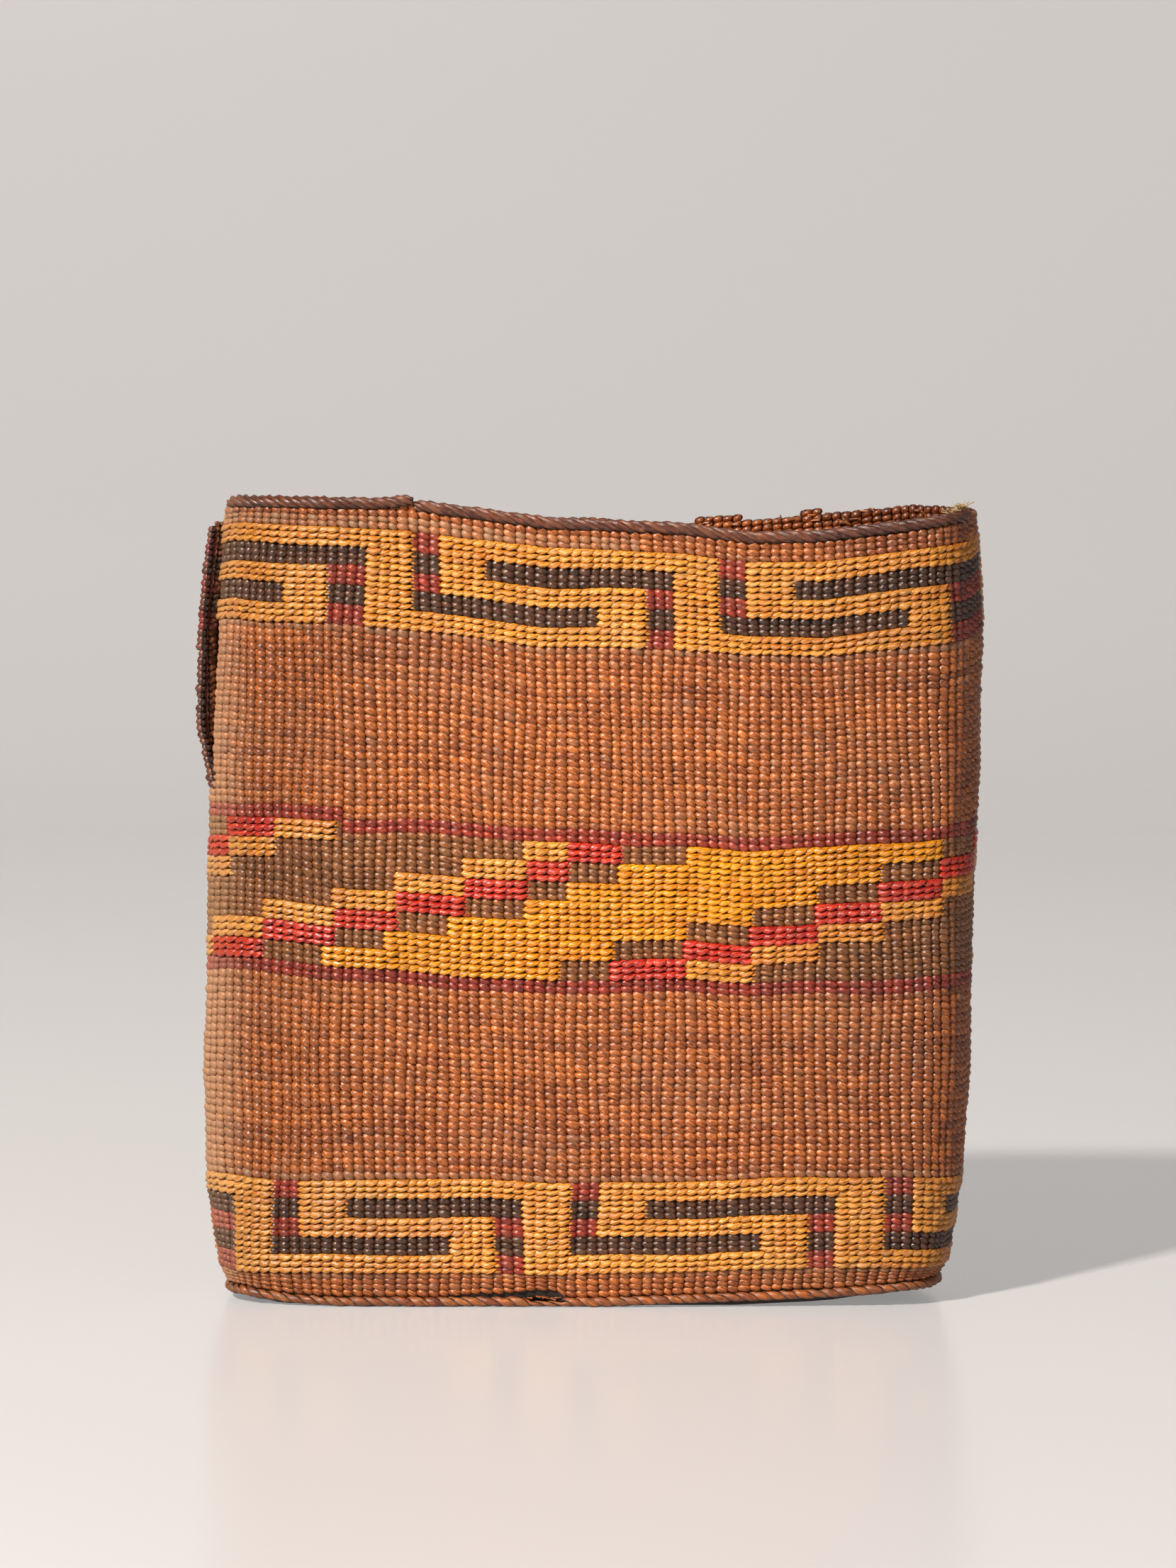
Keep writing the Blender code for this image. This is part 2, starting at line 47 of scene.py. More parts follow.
# Sizes of the basket
BASKET_WIDTH = 0.2180
BASKET_DEPTH = 0.0490
WALL_TOP = 0.2156
FOOT_TOP = 0.0094
MIDDLE_OFFSET = 0.0011
WALL_THICKNESS = 0.0025
SEAM_CLEARANCE = 0.0003
BORDER_ROPE_HEIGHT = 0.0027
BORDER_ROPE_WIDTH = 0.0036
RIM_ROPE_HEIGHT = 0.0035
RIM_ROPE_WIDTH = 0.0042
BASE_THICKNESS = 0.0020
BASE_UNDERCUT = 0.0004
BASE_DOME = 0.0030

# Heights of one course in each zone
LOWER_BAND_COURSE = 0.00172
UPPER_BAND_COURSE = 0.00178
PLAIN_COURSE = 0.00196
LINE_COURSE = 0.00185
MIDDLE_COURSE = 0.00180

# Distances that the tables of shares below are shares of
RIM_SWING = 0.0100
FOOT_SWING = 0.0022
CORNER_LIFT = 0.0046
FOOT_SLIT = 0.0020
TEAR_SPREAD = 0.0052
TEAR_SETBACK = 0.0048
RIM_STEP = 0.0012
COURSE_STEP = 0.0034

# Columns and rows: where each zone of courses ends
COLUMNS = 168
FOOT_END = 4
LOWER_BAND_END = 19
LOWER_PLAIN_END = 46
LOWER_LINE_END = 48
MIDDLE_END = 69
UPPER_LINE_END = 71
UPPER_PLAIN_END = 97
UPPER_BAND_END = 112
TOP_ROW = 115
BULGE_ROW = 33
TEAR_ROW = 73
TEAR_WIDE_ROW = 83
BLOCK_ROWS = 3
BAND_BLOCKS = 5
FLAP_COLUMN = 150
COLUMN_PITCH = 0.00295
ROPE_START_COLUMN = 0.4
ROPE_SPLICE_COLUMN = 20.5
ROPE_END_COLUMN = 75.5
SPLICE_COLUMNS = 4
SLIT_START = 30.6
SLIT_END = 34.9

# The wall in plan, as shares of half the width and half the depth
KEY_COLUMNS = (0, 4.5, 12.5, 41, 67, 70, 73, 77, 82, 87, 92, 123, 154, 158.5, 162.5, 165.5)
PLAN_ROWS = (0, FOOT_END, LOWER_BAND_END, BULGE_ROW, LOWER_PLAIN_END, TEAR_ROW, UPPER_PLAIN_END, TOP_ROW)
PLAN_X_SHARES = (
    (-.955, -.900, -.690, .09, .80, .855, .885, .897, .895, .855, .760, 0, -.75, -.865, -.930, -.957),
    (-.975, -.905, -.690, .09, .81, .875, .903, .917, .917, .875, .775, 0, -.76, -.875, -.950, -.985),
    (-1.005, -.900, -.690, .09, .81, .886, .936, .958, .956, .910, .800, 0, -.79, -.905, -.985, -1.015),
    (-1.015, -.900, -.690, .09, .81, .890, .945, .972, .970, .920, .805, 0, -.80, -.915, -.990, -1.024),
    (-1.000, -.893, -.688, .09, .81, .890, .945, .973, .972, .920, .810, 0, -.80, -.915, -.982, -1.010),
    (-.995, -.888, -.680, .09, .80, .880, .942, .987, .990, .940, .830, .02, -.79, -.905, -.975, -1.005),
    (-.985, -.882, -.678, .09, .79, .872, .945, 1.000, 1.000, .950, .845, .03, -.79, -.900, -.970, -.995),
    (-.960, -.862, -.670, .09, .79, .865, .930, .978, .980, .930, .825, .03, -.78, -.885, -.950, -.975),
)
PLAN_Y_SHARES = (
    (-.36, -.66, -.86, -.90, -.88, -.74, -.50, -.18, .20, .58, .80, .85, .80, .66, .38, .06),
    (-.37, -.76, -.96, -.99, -.97, -.82, -.57, -.22, .22, .66, .92, .97, .92, .76, .42, .05),
    (-.34, -.70, -.98, -1.0, -.98, -.90, -.68, -.30, .24, .73, .96, 1.0, .96, .78, .42, .08),
    (-.31, -.68, -.98, -1.0, -.98, -.92, -.71, -.31, .24, .74, .97, 1.0, .96, .78, .42, .08),
    (-.28, -.66, -.98, -1.0, -.98, -.94, -.74, -.33, .24, .74, .97, 1.0, .96, .78, .42, .08),
    (-.22, -.66, -.98, -1.0, -.98, -.98, -.79, -.38, .23, .74, .97, 1.0, .96, .78, .42, .10),
    (-.20, -.66, -.98, -1.0, -.98, -.98, -.80, -.39, .22, .73, .96, 1.0, .96, .78, .42, .12),
    (-.20, -.65, -.97, -.99, -.97, -.97, -.80, -.40, .20, .70, .94, .98, .94, .76, .40, .12),
)
ROUNDING_COLUMNS = 1.8
ROUNDING_STEPS = 9

# How the rim, foot, base and tear run round the wall: pairs of column or row and share
RIM_RISE_SHARES = ((0, .70), (2, .77), (12, .73), (20, .67), (24, .52), (33, .17), (46, .01), (52, -.24),
                   (59, -.19), (68, .13), (74, .34), (77, .59), (80, .70), (86, .88), (92, .93), (101, .66),
                   (108, .50), (114, .41), (130, .36), (142, .43), (154, .31), (162, .35), (168, .33))
FOOT_RISE_SHARES = ((0, -.18), (12, .1), (20, .3), (34, 0), (46, .45), (58, 1), (71, .6), (85, .5),
                    (110, .2), (150, .1), (168, -.18))
BASE_LIFT_SHARES = ((0, .45), (4, .45), (9, .1), (14, 0), (38, 0), (50, .28), (60, .55), (67, .93),
                    (73, 1), (80, .8), (90, .35), (98, 0), (152, 0), (160, .2), (168, .45))
FOOT_SLIT_SHARES = ((0, 0), (23, 0), (26, .3), (30, .55), (32, 1), (34, .9), (35, 0), (168, 0))
TEAR_SPREAD_SHARES = ((0, -.16), (5, 0), (150, 0), (157, -.15), (161, -.35), (163, -.5), (164.5, -.48),
                      (166, -.1), (168, 1))
TEAR_SETBACK_SHARES = ((0, -.12), (5, 0), (150, 0), (157, .07), (164.5, .23), (166, .48), (168, 1))
TEAR_ROW_SHARES = ((0, 0), (TEAR_ROW, 0), (TEAR_WIDE_ROW, .85), (UPPER_PLAIN_END, 1), (TOP_ROW, .8))
STEP_COLUMN_SHARES = ((0, 1), (13.5, 1), (13.95, 0), (92, 0), (150, .9), (168, 1))
STEP_ROW_SHARES = ((0, 0), (LOWER_BAND_END, 0), (LOWER_PLAIN_END, 1), (UPPER_LINE_END, 1),
                   (UPPER_PLAIN_END, .7), (UPPER_BAND_END, .3), (TOP_ROW, 0))
SLOPE_COLUMN_SHARES = ((0, 1), (3, 1), (20, 0), (92, 0), (150, .9), (168, 1))
STEP_SHARPNESS_SHARES = ((0, 0), (60, 0), (64, 1), (74, 1), (84, 0), (TOP_ROW, 0))

# The design in columns: each fret unit's bar and the end of its hook, both ends of each yellow step,
# and the edges of each stair from its top step down
UPPER_FRET_UNITS = ((16, 42), (45, 71), (78, 99), (102, 127), (130, 154), (157, 180))
LOWER_FRET_UNITS = ((3, 28), (31, 57), (60, 85), (88, 113), (116, 141), (144, 166))
FRET_BAR = 4
FRET_HOOK_START = 7
FRET_HOOK_END = 11
YELLOW_STEPS = ((46, 70), (40, 64), (35, 58), (31, 52), (24, 46), (18, 39), (12, 34))
UPPER_STAIR_EDGES = (40, 35, 31, 25, 19, 13, 6, 0, -6)
LOWER_STAIR_EDGES = (88, 82, 76, 70, 64, 58, 52, 46, 39)
BACK_UNIT_COLUMNS = ((-4, 77), (8, 87), (76, 170), (82, 175), (88, 181))


def curve(table, places):
    """Values of a table of (place, value) pairs, straight between its entries."""
    keys, values = zip(*table)
    return np.interp(places, keys, values)


def eased(low, high, values):
    """From 0 at low to 1 at high, smoothly."""
    share = np.clip((values - low) / (high - low), 0, 1)
    return share * share * (3 - 2 * share)


def joined(*parts):
    """Values of each point side by side, such as its x, y and z."""
    return np.stack(np.broadcast_arrays(*parts), axis=-1)


# The wall, worked out once on a fine net of columns and rows
NET_STEP = 0.5
NET_MARGIN = 3
NET_COLUMNS = np.arange(-NET_MARGIN, COLUMNS + NET_MARGIN + NET_STEP / 2, NET_STEP)
NET_ROWS = np.arange(-NET_MARGIN, TOP_ROW + NET_MARGIN + 1)
CLOSED_RIM_RISE = RIM_RISE_SHARES[:-1] + ((COLUMNS, RIM_RISE_SHARES[0][1]),)


def plan_shares(tables, row):
    """Shares of one row at every net column, with rounded corners."""
    values = [float(np.interp(row, PLAN_ROWS, column)) for column in zip(*tables)]
    keys = [key - COLUMNS for key in KEY_COLUMNS[-2:]] + list(KEY_COLUMNS)
    keys += [key + COLUMNS for key in KEY_COLUMNS[:2]]
    values = values[-2:] + values + values[:2]
    shifts = np.linspace(-ROUNDING_COLUMNS, ROUNDING_COLUMNS, ROUNDING_STEPS)
    return np.mean([np.interp(NET_COLUMNS + shift, keys, values) for shift in shifts], axis=0)


def course_height(rows):
    """Height of rows above the top of the foot, before the wall is stretched."""
    zones = (
        (FOOT_END, LOWER_BAND_END, LOWER_BAND_COURSE),
        (LOWER_BAND_END, LOWER_PLAIN_END, PLAIN_COURSE),
        (LOWER_PLAIN_END, LOWER_LINE_END, LINE_COURSE),
        (LOWER_LINE_END, MIDDLE_END, MIDDLE_COURSE),
        (MIDDLE_END, UPPER_LINE_END, LINE_COURSE),
        (UPPER_LINE_END, UPPER_PLAIN_END, PLAIN_COURSE),
        (UPPER_PLAIN_END, TOP_ROW + NET_MARGIN, UPPER_BAND_COURSE),
    )
    return sum(course * np.clip(rows - start, 0, end - start) for start, end, course in zones)


def base_lift(columns):
    return CORNER_LIFT * curve(BASE_LIFT_SHARES, columns % COLUMNS)


def heights(columns, row):
    """Height of the wall over the floor, without the step in the courses."""
    around = columns % COLUMNS
    rope_top = base_lift(columns) + BORDER_ROPE_HEIGHT + SEAM_CLEARANCE
    rope_top = rope_top + FOOT_SLIT * curve(FOOT_SLIT_SHARES, around)
    foot = FOOT_TOP + FOOT_SWING * curve(FOOT_RISE_SHARES, around)
    if row <= FOOT_END:
        return rope_top + (foot - rope_top) * row / FOOT_END
    torn = min(max((row - TEAR_ROW) / (TEAR_WIDE_ROW - TEAR_ROW), 0), 1)
    rise = curve(CLOSED_RIM_RISE, around) * (1 - torn)
    rise = rise + curve(RIM_RISE_SHARES, np.clip(columns, 0, COLUMNS)) * torn
    top = WALL_TOP + RIM_SWING * rise
    return foot + (top - foot) * course_height(row) / course_height(TOP_ROW)


def wall_net():
    """Points of the outer face and its level outward directions, by row and column."""
    across = np.array([plan_shares(PLAN_X_SHARES, row) for row in NET_ROWS])
    deep = np.array([plan_shares(PLAN_Y_SHARES, row) for row in NET_ROWS])
    window = (1, 2, 3, 2, 1)
    reach = len(window) // 2
    rounded = []
    for shares in (across, deep):
        padded = np.pad(shares, ((reach, reach), (0, 0)), mode="edge")
        parts = [weight * padded[k:k + len(NET_ROWS)] for k, weight in enumerate(window)]
        rounded.append(sum(parts) / sum(window))
    torn = curve(TEAR_ROW_SHARES, NET_ROWS)[:, None]
    spread = TEAR_SPREAD * torn * curve(TEAR_SPREAD_SHARES, NET_COLUMNS)
    setback = TEAR_SETBACK * torn * curve(TEAR_SETBACK_SHARES, NET_COLUMNS)
    x = MIDDLE_OFFSET + BASKET_WIDTH / 2 * rounded[0] - spread
    y = BASKET_DEPTH / 2 * rounded[1] + setback
    z = np.array([heights(NET_COLUMNS, row) for row in NET_ROWS])
    along_x = np.gradient(x, axis=1)
    along_y = np.gradient(y, axis=1)
    length = np.hypot(along_x, along_y)
    return joined(x, y, z, along_y / length, -along_x / length)


NET = wall_net()

# How the hand work strays, as waves: reach, number round the basket, turn for each row, and start
WAVES_ACROSS = ((.09, 7, .21, 0), (.07, 16, -.13, 1.3))
WAVES_UP = ((.16, 5, .11, .5), (.12, 13, -.07, 2.1))
WAVES_OUT = ((.16, 9, .17, 0), (.12, 23, -.29, .7))
CALM_ROWS = 8


def waves(table, columns, rows):
    """The sum of a table's waves."""
    turn = 2 * math.pi * columns / COLUMNS
    return sum(reach * np.sin(number * turn + climb * rows + start) for reach, number, climb, start in table)


def wander(columns, rows):
    """How far the hand work strays: in columns, in rows, and out of the wall. It is less near the edges."""
    edges = eased(0, CALM_ROWS, rows) * eased(0, CALM_ROWS, TOP_ROW - rows)
    across, up, out = (waves(table, columns, rows) for table in (WAVES_ACROSS, WAVES_UP, WAVES_OUT))
    return across, up * edges, out * MM * edges


def wall(columns, rows, offsets, step_columns=None):
    """Points of the wall, offset out of its outer face. The step follows each stitch's own column."""
    across, up, out = wander(columns, rows)
    last_row, last_column = (size - 1.001 for size in NET.shape[:2])
    beside = np.clip((columns + across + NET_MARGIN) / NET_STEP, 0, last_column)
    above = np.clip(rows + up + NET_MARGIN, 0, last_row)
    i = beside.astype(int)
    j = above.astype(int)
    s = (beside - i)[..., None]
    t = (above - j)[..., None]
    low = NET[j, i] * (1 - s) + NET[j, i + 1] * s
    high = NET[j + 1, i] * (1 - s) + NET[j + 1, i + 1] * s
    spot = low * (1 - t) + high * t
    offset = offsets + out
    step_at = columns if step_columns is None else step_columns
    sharp = curve(STEP_SHARPNESS_SHARES, rows)
    risen = sharp * curve(STEP_COLUMN_SHARES, step_at) + (1 - sharp) * curve(SLOPE_COLUMN_SHARES, columns)
    step = COURSE_STEP * risen * curve(STEP_ROW_SHARES, rows)
    x = spot[..., 0] + spot[..., 3] * offset
    y = spot[..., 1] + spot[..., 4] * offset
    return joined(x, y, spot[..., 2] + step)


# Materials
MIX = {"data_type": "RGBA"}
MULTIPLY = {"data_type": "RGBA", "blend_type": "MULTIPLY"}
SMOOTH = {"interpolation_type": "SMOOTHSTEP"}
FIBRE_SLENDERNESS = .16
BUMP_HEIGHT = .14 * MM
DUST_BRIGHTNESS = .5
# Where the left end grows pale: partly real fading, partly painted light from the lamp on the left
FADE_AND_GLARE_START_X = -.092
FADE_AND_GLARE_END_X = -.111
# Painted shade: the colour darkens towards both sides between these distances from the middle
SIDE_SHADE_FROM_X = .03
SIDE_SHADE_TO_X = .10


def colour(code):
    """A linear colour from an sRGB hex value."""
    parts = [int(code[k:k + 2], 16) / 255 for k in (1, 3, 5)]
    return [p / 12.92 if p <= 0.04045 else ((p + 0.055) / 1.055) ** 2.4 for p in parts] + [1]


def add(tree, kind, settings, inputs):
    """A new node with its settings, and its inputs set to values or linked to sockets."""
    node = tree.nodes.new("ShaderNode" + kind)
    for name, value in settings.items():
        setattr(node, name, value)
    for name, value in inputs.items():
        if isinstance(value, bpy.types.NodeSocket):
            tree.links.new(value, node.inputs[name])
        else:
            node.inputs[name].default_value = value
    return node


def strand_material(name, light, deep, shade, worn, roughness, pale, fade_and_glare,
                    fibre_mm=.30, slant=-.45, relief=.9):
    """Split plant strand: its tone changes by the stitch, and fibres run slantwise along it.

    light, deep: the two tones that stitches lie between. shade: the painted shade colour that the low sides
    of each stitch go to, as shadow in the gaps.
    worn: the paler colour of worn specks, of pale fibre streaks that are partly painted glints, and of
    the pale left end; dull stitches take it at half brightness. pale: how far the lightest fibres go to it.
    fade: how far the left end goes to it, partly real fading and partly painted light from the lamp on the
    left. fibre_mm: width of a fibre. slant: how far the fibres climb for each length along the stitch.
    relief: how far they stand out.
    """
    material = bpy.data.materials.new(name)
    material.use_nodes = True
    tree = material.node_tree
    surface = tree.nodes["Principled BSDF"]
    stitch = add(tree, "Attribute", {"attribute_name": "stitch"}, {})
    parts = add(tree, "SeparateXYZ", {}, {"Vector": stitch.outputs["Vector"]})
    tone_of_stitch, dullness_of_stitch, depth_in_stitch = (parts.outputs[axis] for axis in "XYZ")
    place = add(tree, "TexCoord", {}, {}).outputs["Object"]
    spot = add(tree, "SeparateXYZ", {}, {"Vector": place})

    # Fibres: noise drawn out along the stitch
    fibre = add(tree, "Attribute", {"attribute_name": "fibre"}, {})
    turned = add(tree, "Mapping", {}, {"Vector": fibre.outputs["Vector"],
                                       "Rotation": (0, 0, -math.atan(slant))})
    along = add(tree, "Mapping", {}, {"Vector": turned.outputs["Vector"],
                                      "Scale": (FIBRE_SLENDERNESS / fibre_mm, 1 / fibre_mm, 9)})
    streak = add(tree, "TexNoise", {}, {"Vector": along.outputs["Vector"], "Scale": 1,
                                        "Detail": 3, "Roughness": .6}).outputs["Fac"]

    # Tone: by the stitch, and by patches about 40 mm wide
    patch = add(tree, "TexNoise", {}, {"Vector": place, "Scale": 26, "Detail": 3, "Roughness": .6})
    tone = add(tree, "Math", {"operation": "MULTIPLY_ADD"}, {0: patch.outputs["Fac"], 1: .9, 2: -.45})
    tone = add(tree, "Math", {"operation": "ADD", "use_clamp": True}, {0: tone.outputs[0], 1: tone_of_stitch})
    base = add(tree, "Mix", MIX, {"Factor": tone.outputs[0], 6: colour(deep), 7: colour(light)})
    line = add(tree, "MapRange", {}, {"Value": streak, "From Min": .38, "From Max": .60,
                                      "To Min": .34, "To Max": 1.36})
    streaked = add(tree, "Mix", MULTIPLY, {"Factor": 1, 6: base.outputs[2], 7: line.outputs["Result"]})
    # Pale fibre streaks: partly real pale fibres, partly painted glints
    glint = add(tree, "MapRange", {}, {"Value": streak, "From Min": .54, "From Max": .70,
                                       "To Min": 0, "To Max": pale})
    lit = add(tree, "Mix", MIX, {"Factor": glint.outputs["Result"], 6: streaked.outputs[2], 7: colour(worn)})

    # Wear: specks about 1 mm wide and dull stitches. Then the pale left end, partly real fading and partly
    # painted light from the lamp on the left, and painted shade that darkens both sides away from the middle
    speck = add(tree, "TexNoise", {}, {"Vector": place, "Scale": 900, "Detail": 2, "Roughness": .6})
    dirt = add(tree, "MapRange", {}, {"Value": speck.outputs["Fac"], "From Min": .55, "From Max": .75,
                                      "To Min": 0, "To Max": .3})
    specked = add(tree, "Mix", MIX, {"Factor": dirt.outputs["Result"], 6: lit.outputs[2], 7: colour(worn)})
    dust = [DUST_BRIGHTNESS * channel for channel in colour(worn)[:3]] + [1]
    dull = add(tree, "Mix", MIX, {"Factor": dullness_of_stitch, 6: specked.outputs[2], 7: dust})
    # The pale left end: partly real fading, partly painted light from the lamp on the left
    end = add(tree, "MapRange", SMOOTH, {"Value": spot.outputs["X"], "From Min": FADE_AND_GLARE_START_X,
                                         "From Max": FADE_AND_GLARE_END_X, "To Min": 0, "To Max": fade_and_glare})
    faded_and_lit = add(tree, "Mix", MIX, {"Factor": end.outputs["Result"], 6: dull.outputs[2], 7: colour(worn)})
    # Painted shade: darker towards both sides, away from the middle
    aside = add(tree, "Math", {"operation": "ABSOLUTE"}, {0: spot.outputs["X"]})
    side_shade = add(tree, "MapRange", SMOOTH, {"Value": aside.outputs[0], "From Min": SIDE_SHADE_FROM_X,
                                             "From Max": SIDE_SHADE_TO_X, "To Min": 1, "To Max": .70})
    side_shaded = add(tree, "Mix", MULTIPLY, {"Factor": 1, 6: faded_and_lit.outputs[2], 7: side_shade.outputs["Result"]})
    # Painted shade: the low sides of each stitch go to the shade colour, as shadow in the gaps
    depth = add(tree, "MapRange", SMOOTH, {"Value": depth_in_stitch, "From Min": 0, "From Max": .58,
                                           "To Min": 1, "To Max": 0})
    shaded = add(tree, "Mix", MIX, {"Factor": depth.outputs["Result"],
                                    6: side_shaded.outputs[2], 7: colour(shade)})
    tree.links.new(shaded.outputs[2], surface.inputs["Base Color"])

    # Sheen: pale fibres are smoother, and dull stitches and the pale left end are rougher
    rough = add(tree, "MapRange", {}, {"Value": streak, "From Min": .3, "From Max": .7,
                                       "To Min": roughness + .10, "To Max": roughness - .06})
    rougher = add(tree, "Math", {"operation": "MULTIPLY_ADD"},
                  {0: dullness_of_stitch, 1: .2, 2: rough.outputs["Result"]})
    matt = add(tree, "Math", {"operation": "MULTIPLY_ADD"},
               {0: end.outputs["Result"], 1: .5, 2: rougher.outputs[0]})
    tree.links.new(matt.outputs[0], surface.inputs["Roughness"])
    bump = add(tree, "Bump", {}, {"Height": streak, "Strength": relief, "Distance": BUMP_HEIGHT})
    tree.links.new(bump.outputs["Normal"], surface.inputs["Normal"])
    surface.inputs["IOR"].default_value = 1.5
    return material


# Split spruce root, undyed and twined: warm orange brown, satin, fibres along the split
NATURAL_ROOT = strand_material("split_spruce_root_satin", "#BA6424", "#823C14", "#360C02", "#C89C74",
                               roughness=.27, pale=.24, fade_and_glare=.66, relief=1)
# Root steeped in a dark dye: very dark brown, paler where the dye has worn, and in pale streaks that are
# partly painted glints
DARK_ROOT = strand_material("spruce_root_dyed_dark", "#5A341F", "#2E1A10", "#0E0503", "#8A6648",
                            roughness=.26, pale=.3, fade_and_glare=.5)
# Root steeped in a red dye, faded to brick
RED_ROOT = strand_material("spruce_root_dyed_brick_red", "#A2341C", "#6C1C0E", "#280602", "#B8745A",
                           roughness=.28, pale=.3, fade_and_glare=.65)
# Root dyed a dull mid brown, the ground of the stepped design
BROWN_ROOT = strand_material("spruce_root_dyed_mid_brown", "#935628", "#6A3A16", "#1C0802", "#B08458",
                             roughness=.29, pale=.35, fade_and_glare=.65)
# Grass stem split, flattened and dyed gold: glossy, with fine parallel fibres
GOLD_GRASS = strand_material("split_grass_dyed_gold", "#DC9026", "#C26A0C", "#4A1403", "#EABC80",
                             roughness=.22, pale=.6, fade_and_glare=.45, slant=.75)
# The same grass in a stronger yellow
YELLOW_GRASS = strand_material("split_grass_dyed_yellow", "#E69400", "#CC7200", "#4A1602", "#F0B44C",
                               roughness=.22, pale=.45, fade_and_glare=.3, fibre_mm=.34, slant=.75, relief=.8)
# The same grass dyed red, unevenly faded towards orange
RED_GRASS = strand_material("split_grass_dyed_red", "#D02C14", "#A0120A", "#440603", "#E67C54",
                            roughness=.22, pale=.5, fade_and_glare=.35, fibre_mm=.34, slant=.75, relief=.8)
# The dyed roots on the torn flap: rougher, with no pale left end, and painted paler to make up for the shadow
# the flap stands in
FLAP_RED_ROOT = strand_material("spruce_root_dyed_red_painted_lighter", "#A84030", "#6A2418", "#240602",
                                "#96584A", roughness=.34, pale=.2, fade_and_glare=0)
FLAP_DARK_ROOT = strand_material("spruce_root_dyed_dark_painted_lighter", "#8E5238", "#583020", "#180703",
                                 "#86604A", roughness=.34, pale=.2, fade_and_glare=0)
# Root wound as rope and rubbed smooth by hands: dark reddish brown, paler at the left end, partly bleached
# and partly painted light from the lamp on the left
ROPE_ROOT = strand_material("wound_root_rim_handled", "#713820", "#441A12", "#0C0302", "#A47454",
                            roughness=.32, pale=.3, fade_and_glare=.8, fibre_mm=.34, slant=.1, relief=1)
# The same rope at the foot, redder and worn by standing
BORDER_ROOT = strand_material("wound_root_foot_worn", "#A6581E", "#783414", "#120402", "#B0804E",
                              roughness=.36, pale=.25, fade_and_glare=.3, fibre_mm=.34, slant=.1, relief=1)
# Root on the inside and under the base: as warm as the outside, a little browner
INNER_ROOT = strand_material("split_spruce_root_inside", "#A8541E", "#6E300E", "#280C04", "#A0785A",
                             roughness=.27, pale=.3, fade_and_glare=.2, fibre_mm=.36, slant=.45, relief=.8)
# Root and grass split into loose fibres: pale straw, matt
PALE_FIBRE = strand_material("split_fibre_straw", "#E8C98C", "#C79A58", "#5A3A18", "#EAD8B4",
                             roughness=.6, pale=.3, fade_and_glare=.1, fibre_mm=.2, slant=0, relief=.3)
# Warps seen only through the gaps: painted near black as the shade in the gaps
WARP_ROOT = strand_material("warp_root_in_shadow", "#2E180E", "#180B06", "#0A0402", "#30241C",
                            roughness=.7, pale=.1, fade_and_glare=.1, fibre_mm=.35, slant=0, relief=.5)


# Forms


def read_form(form):
    """A small form as arrays: points, corners, corners in each face, and which faces are its back."""
    form.verts.index_update()
    points = np.array([vertex.co for vertex in form.verts])
    corners = np.array([vertex.index for face in form.faces for vertex in face.verts])
    sizes = np.array([len(face.verts) for face in form.faces])
    back = np.array([face.normal.z < -.9 for face in form.faces])
    form.free()
    return points, corners, sizes, back


def grain(around, stations, crown, tuck=0):
    """A closed form like half a grain of rice, X along it, Y across and Z out.

    stations gives places along it, each with its reach up, its reach down and its height. The
    first and last are points. crown under 1 flattens the top and steepens the sides. tuck
    lowers the upper side, which the course above covers.
    """
    form = bmesh.new()
    bmesh.ops.create_uvsphere(form, u_segments=around, v_segments=len(stations) - 1, radius=1)
    bmesh.ops.rotate(form, verts=form.verts, matrix=Matrix.Rotation(math.pi / 2, 3, "Z"))
    bmesh.ops.rotate(form, verts=form.verts, matrix=Matrix.Rotation(math.pi / 2, 3, "Y"))
    everything = form.verts[:] + form.edges[:] + form.faces[:]
    bmesh.ops.bisect_plane(form, geom=everything, dist=1e-4, plane_no=(0, 0, 1), clear_inner=True)
    bmesh.ops.holes_fill(form, edges=[edge for edge in form.edges if edge.is_boundary])
    last = len(stations) - 1
    for vertex in form.verts:
        x, y, z = vertex.co
        place, up, down, height = stations[round(last * math.acos(max(min(-x, 1), -1)) / math.pi)]
        turn = math.atan2(max(z, 0), y)
        across = math.cos(turn)
        rise = height * max(math.sin(turn), 0) ** crown * (1 - tuck * across)
        vertex.co = (place, across * (up if across > 0 else down), rise)
    bmesh.ops.recalc_face_normals(form, faces=form.faces)
    return read_form(form)


def tapered(sides, cuts):
    """A closed tapered strand, length 1 along Z and radius 1 at its foot."""
    form = bmesh.new()
    bmesh.ops.create_cone(form, cap_ends=True, segments=sides, radius1=1, radius2=.35, depth=1)
    bmesh.ops.translate(form, verts=form.verts, vec=(0, 0, .5))
    sides_up = [edge for edge in form.edges if abs(edge.verts[0].co.z - edge.verts[1].co.z) > .5]
    bmesh.ops.subdivide_edges(form, edges=sides_up, cuts=cuts)
    bmesh.ops.recalc_face_normals(form, faces=form.faces)
    return read_form(form)


# A root stitch starts narrow under the last one and ends in a round bulb
ROOT_STATIONS = ((-1, 0, 0, 0), (-.84, .62, .40, .36), (-.36, .92, .80, .82), (.26, 1, 1, 1),
                 (.80, .78, .86, .64), (1, 0, 0, 0))
# A grass stitch is a flat strip with a scalloped lower edge
GRASS_STATIONS = ((-1, 0, 0, 0), (-.98, .96, .30, .74), (-.55, 1.02, .66, .90), (0, 1.05, 1.06, 1),
                  (.34, 1.05, 1.30, 1), (.70, 1.02, .90, .98), (.98, .98, .06, .78), (1, 0, 0, 0))
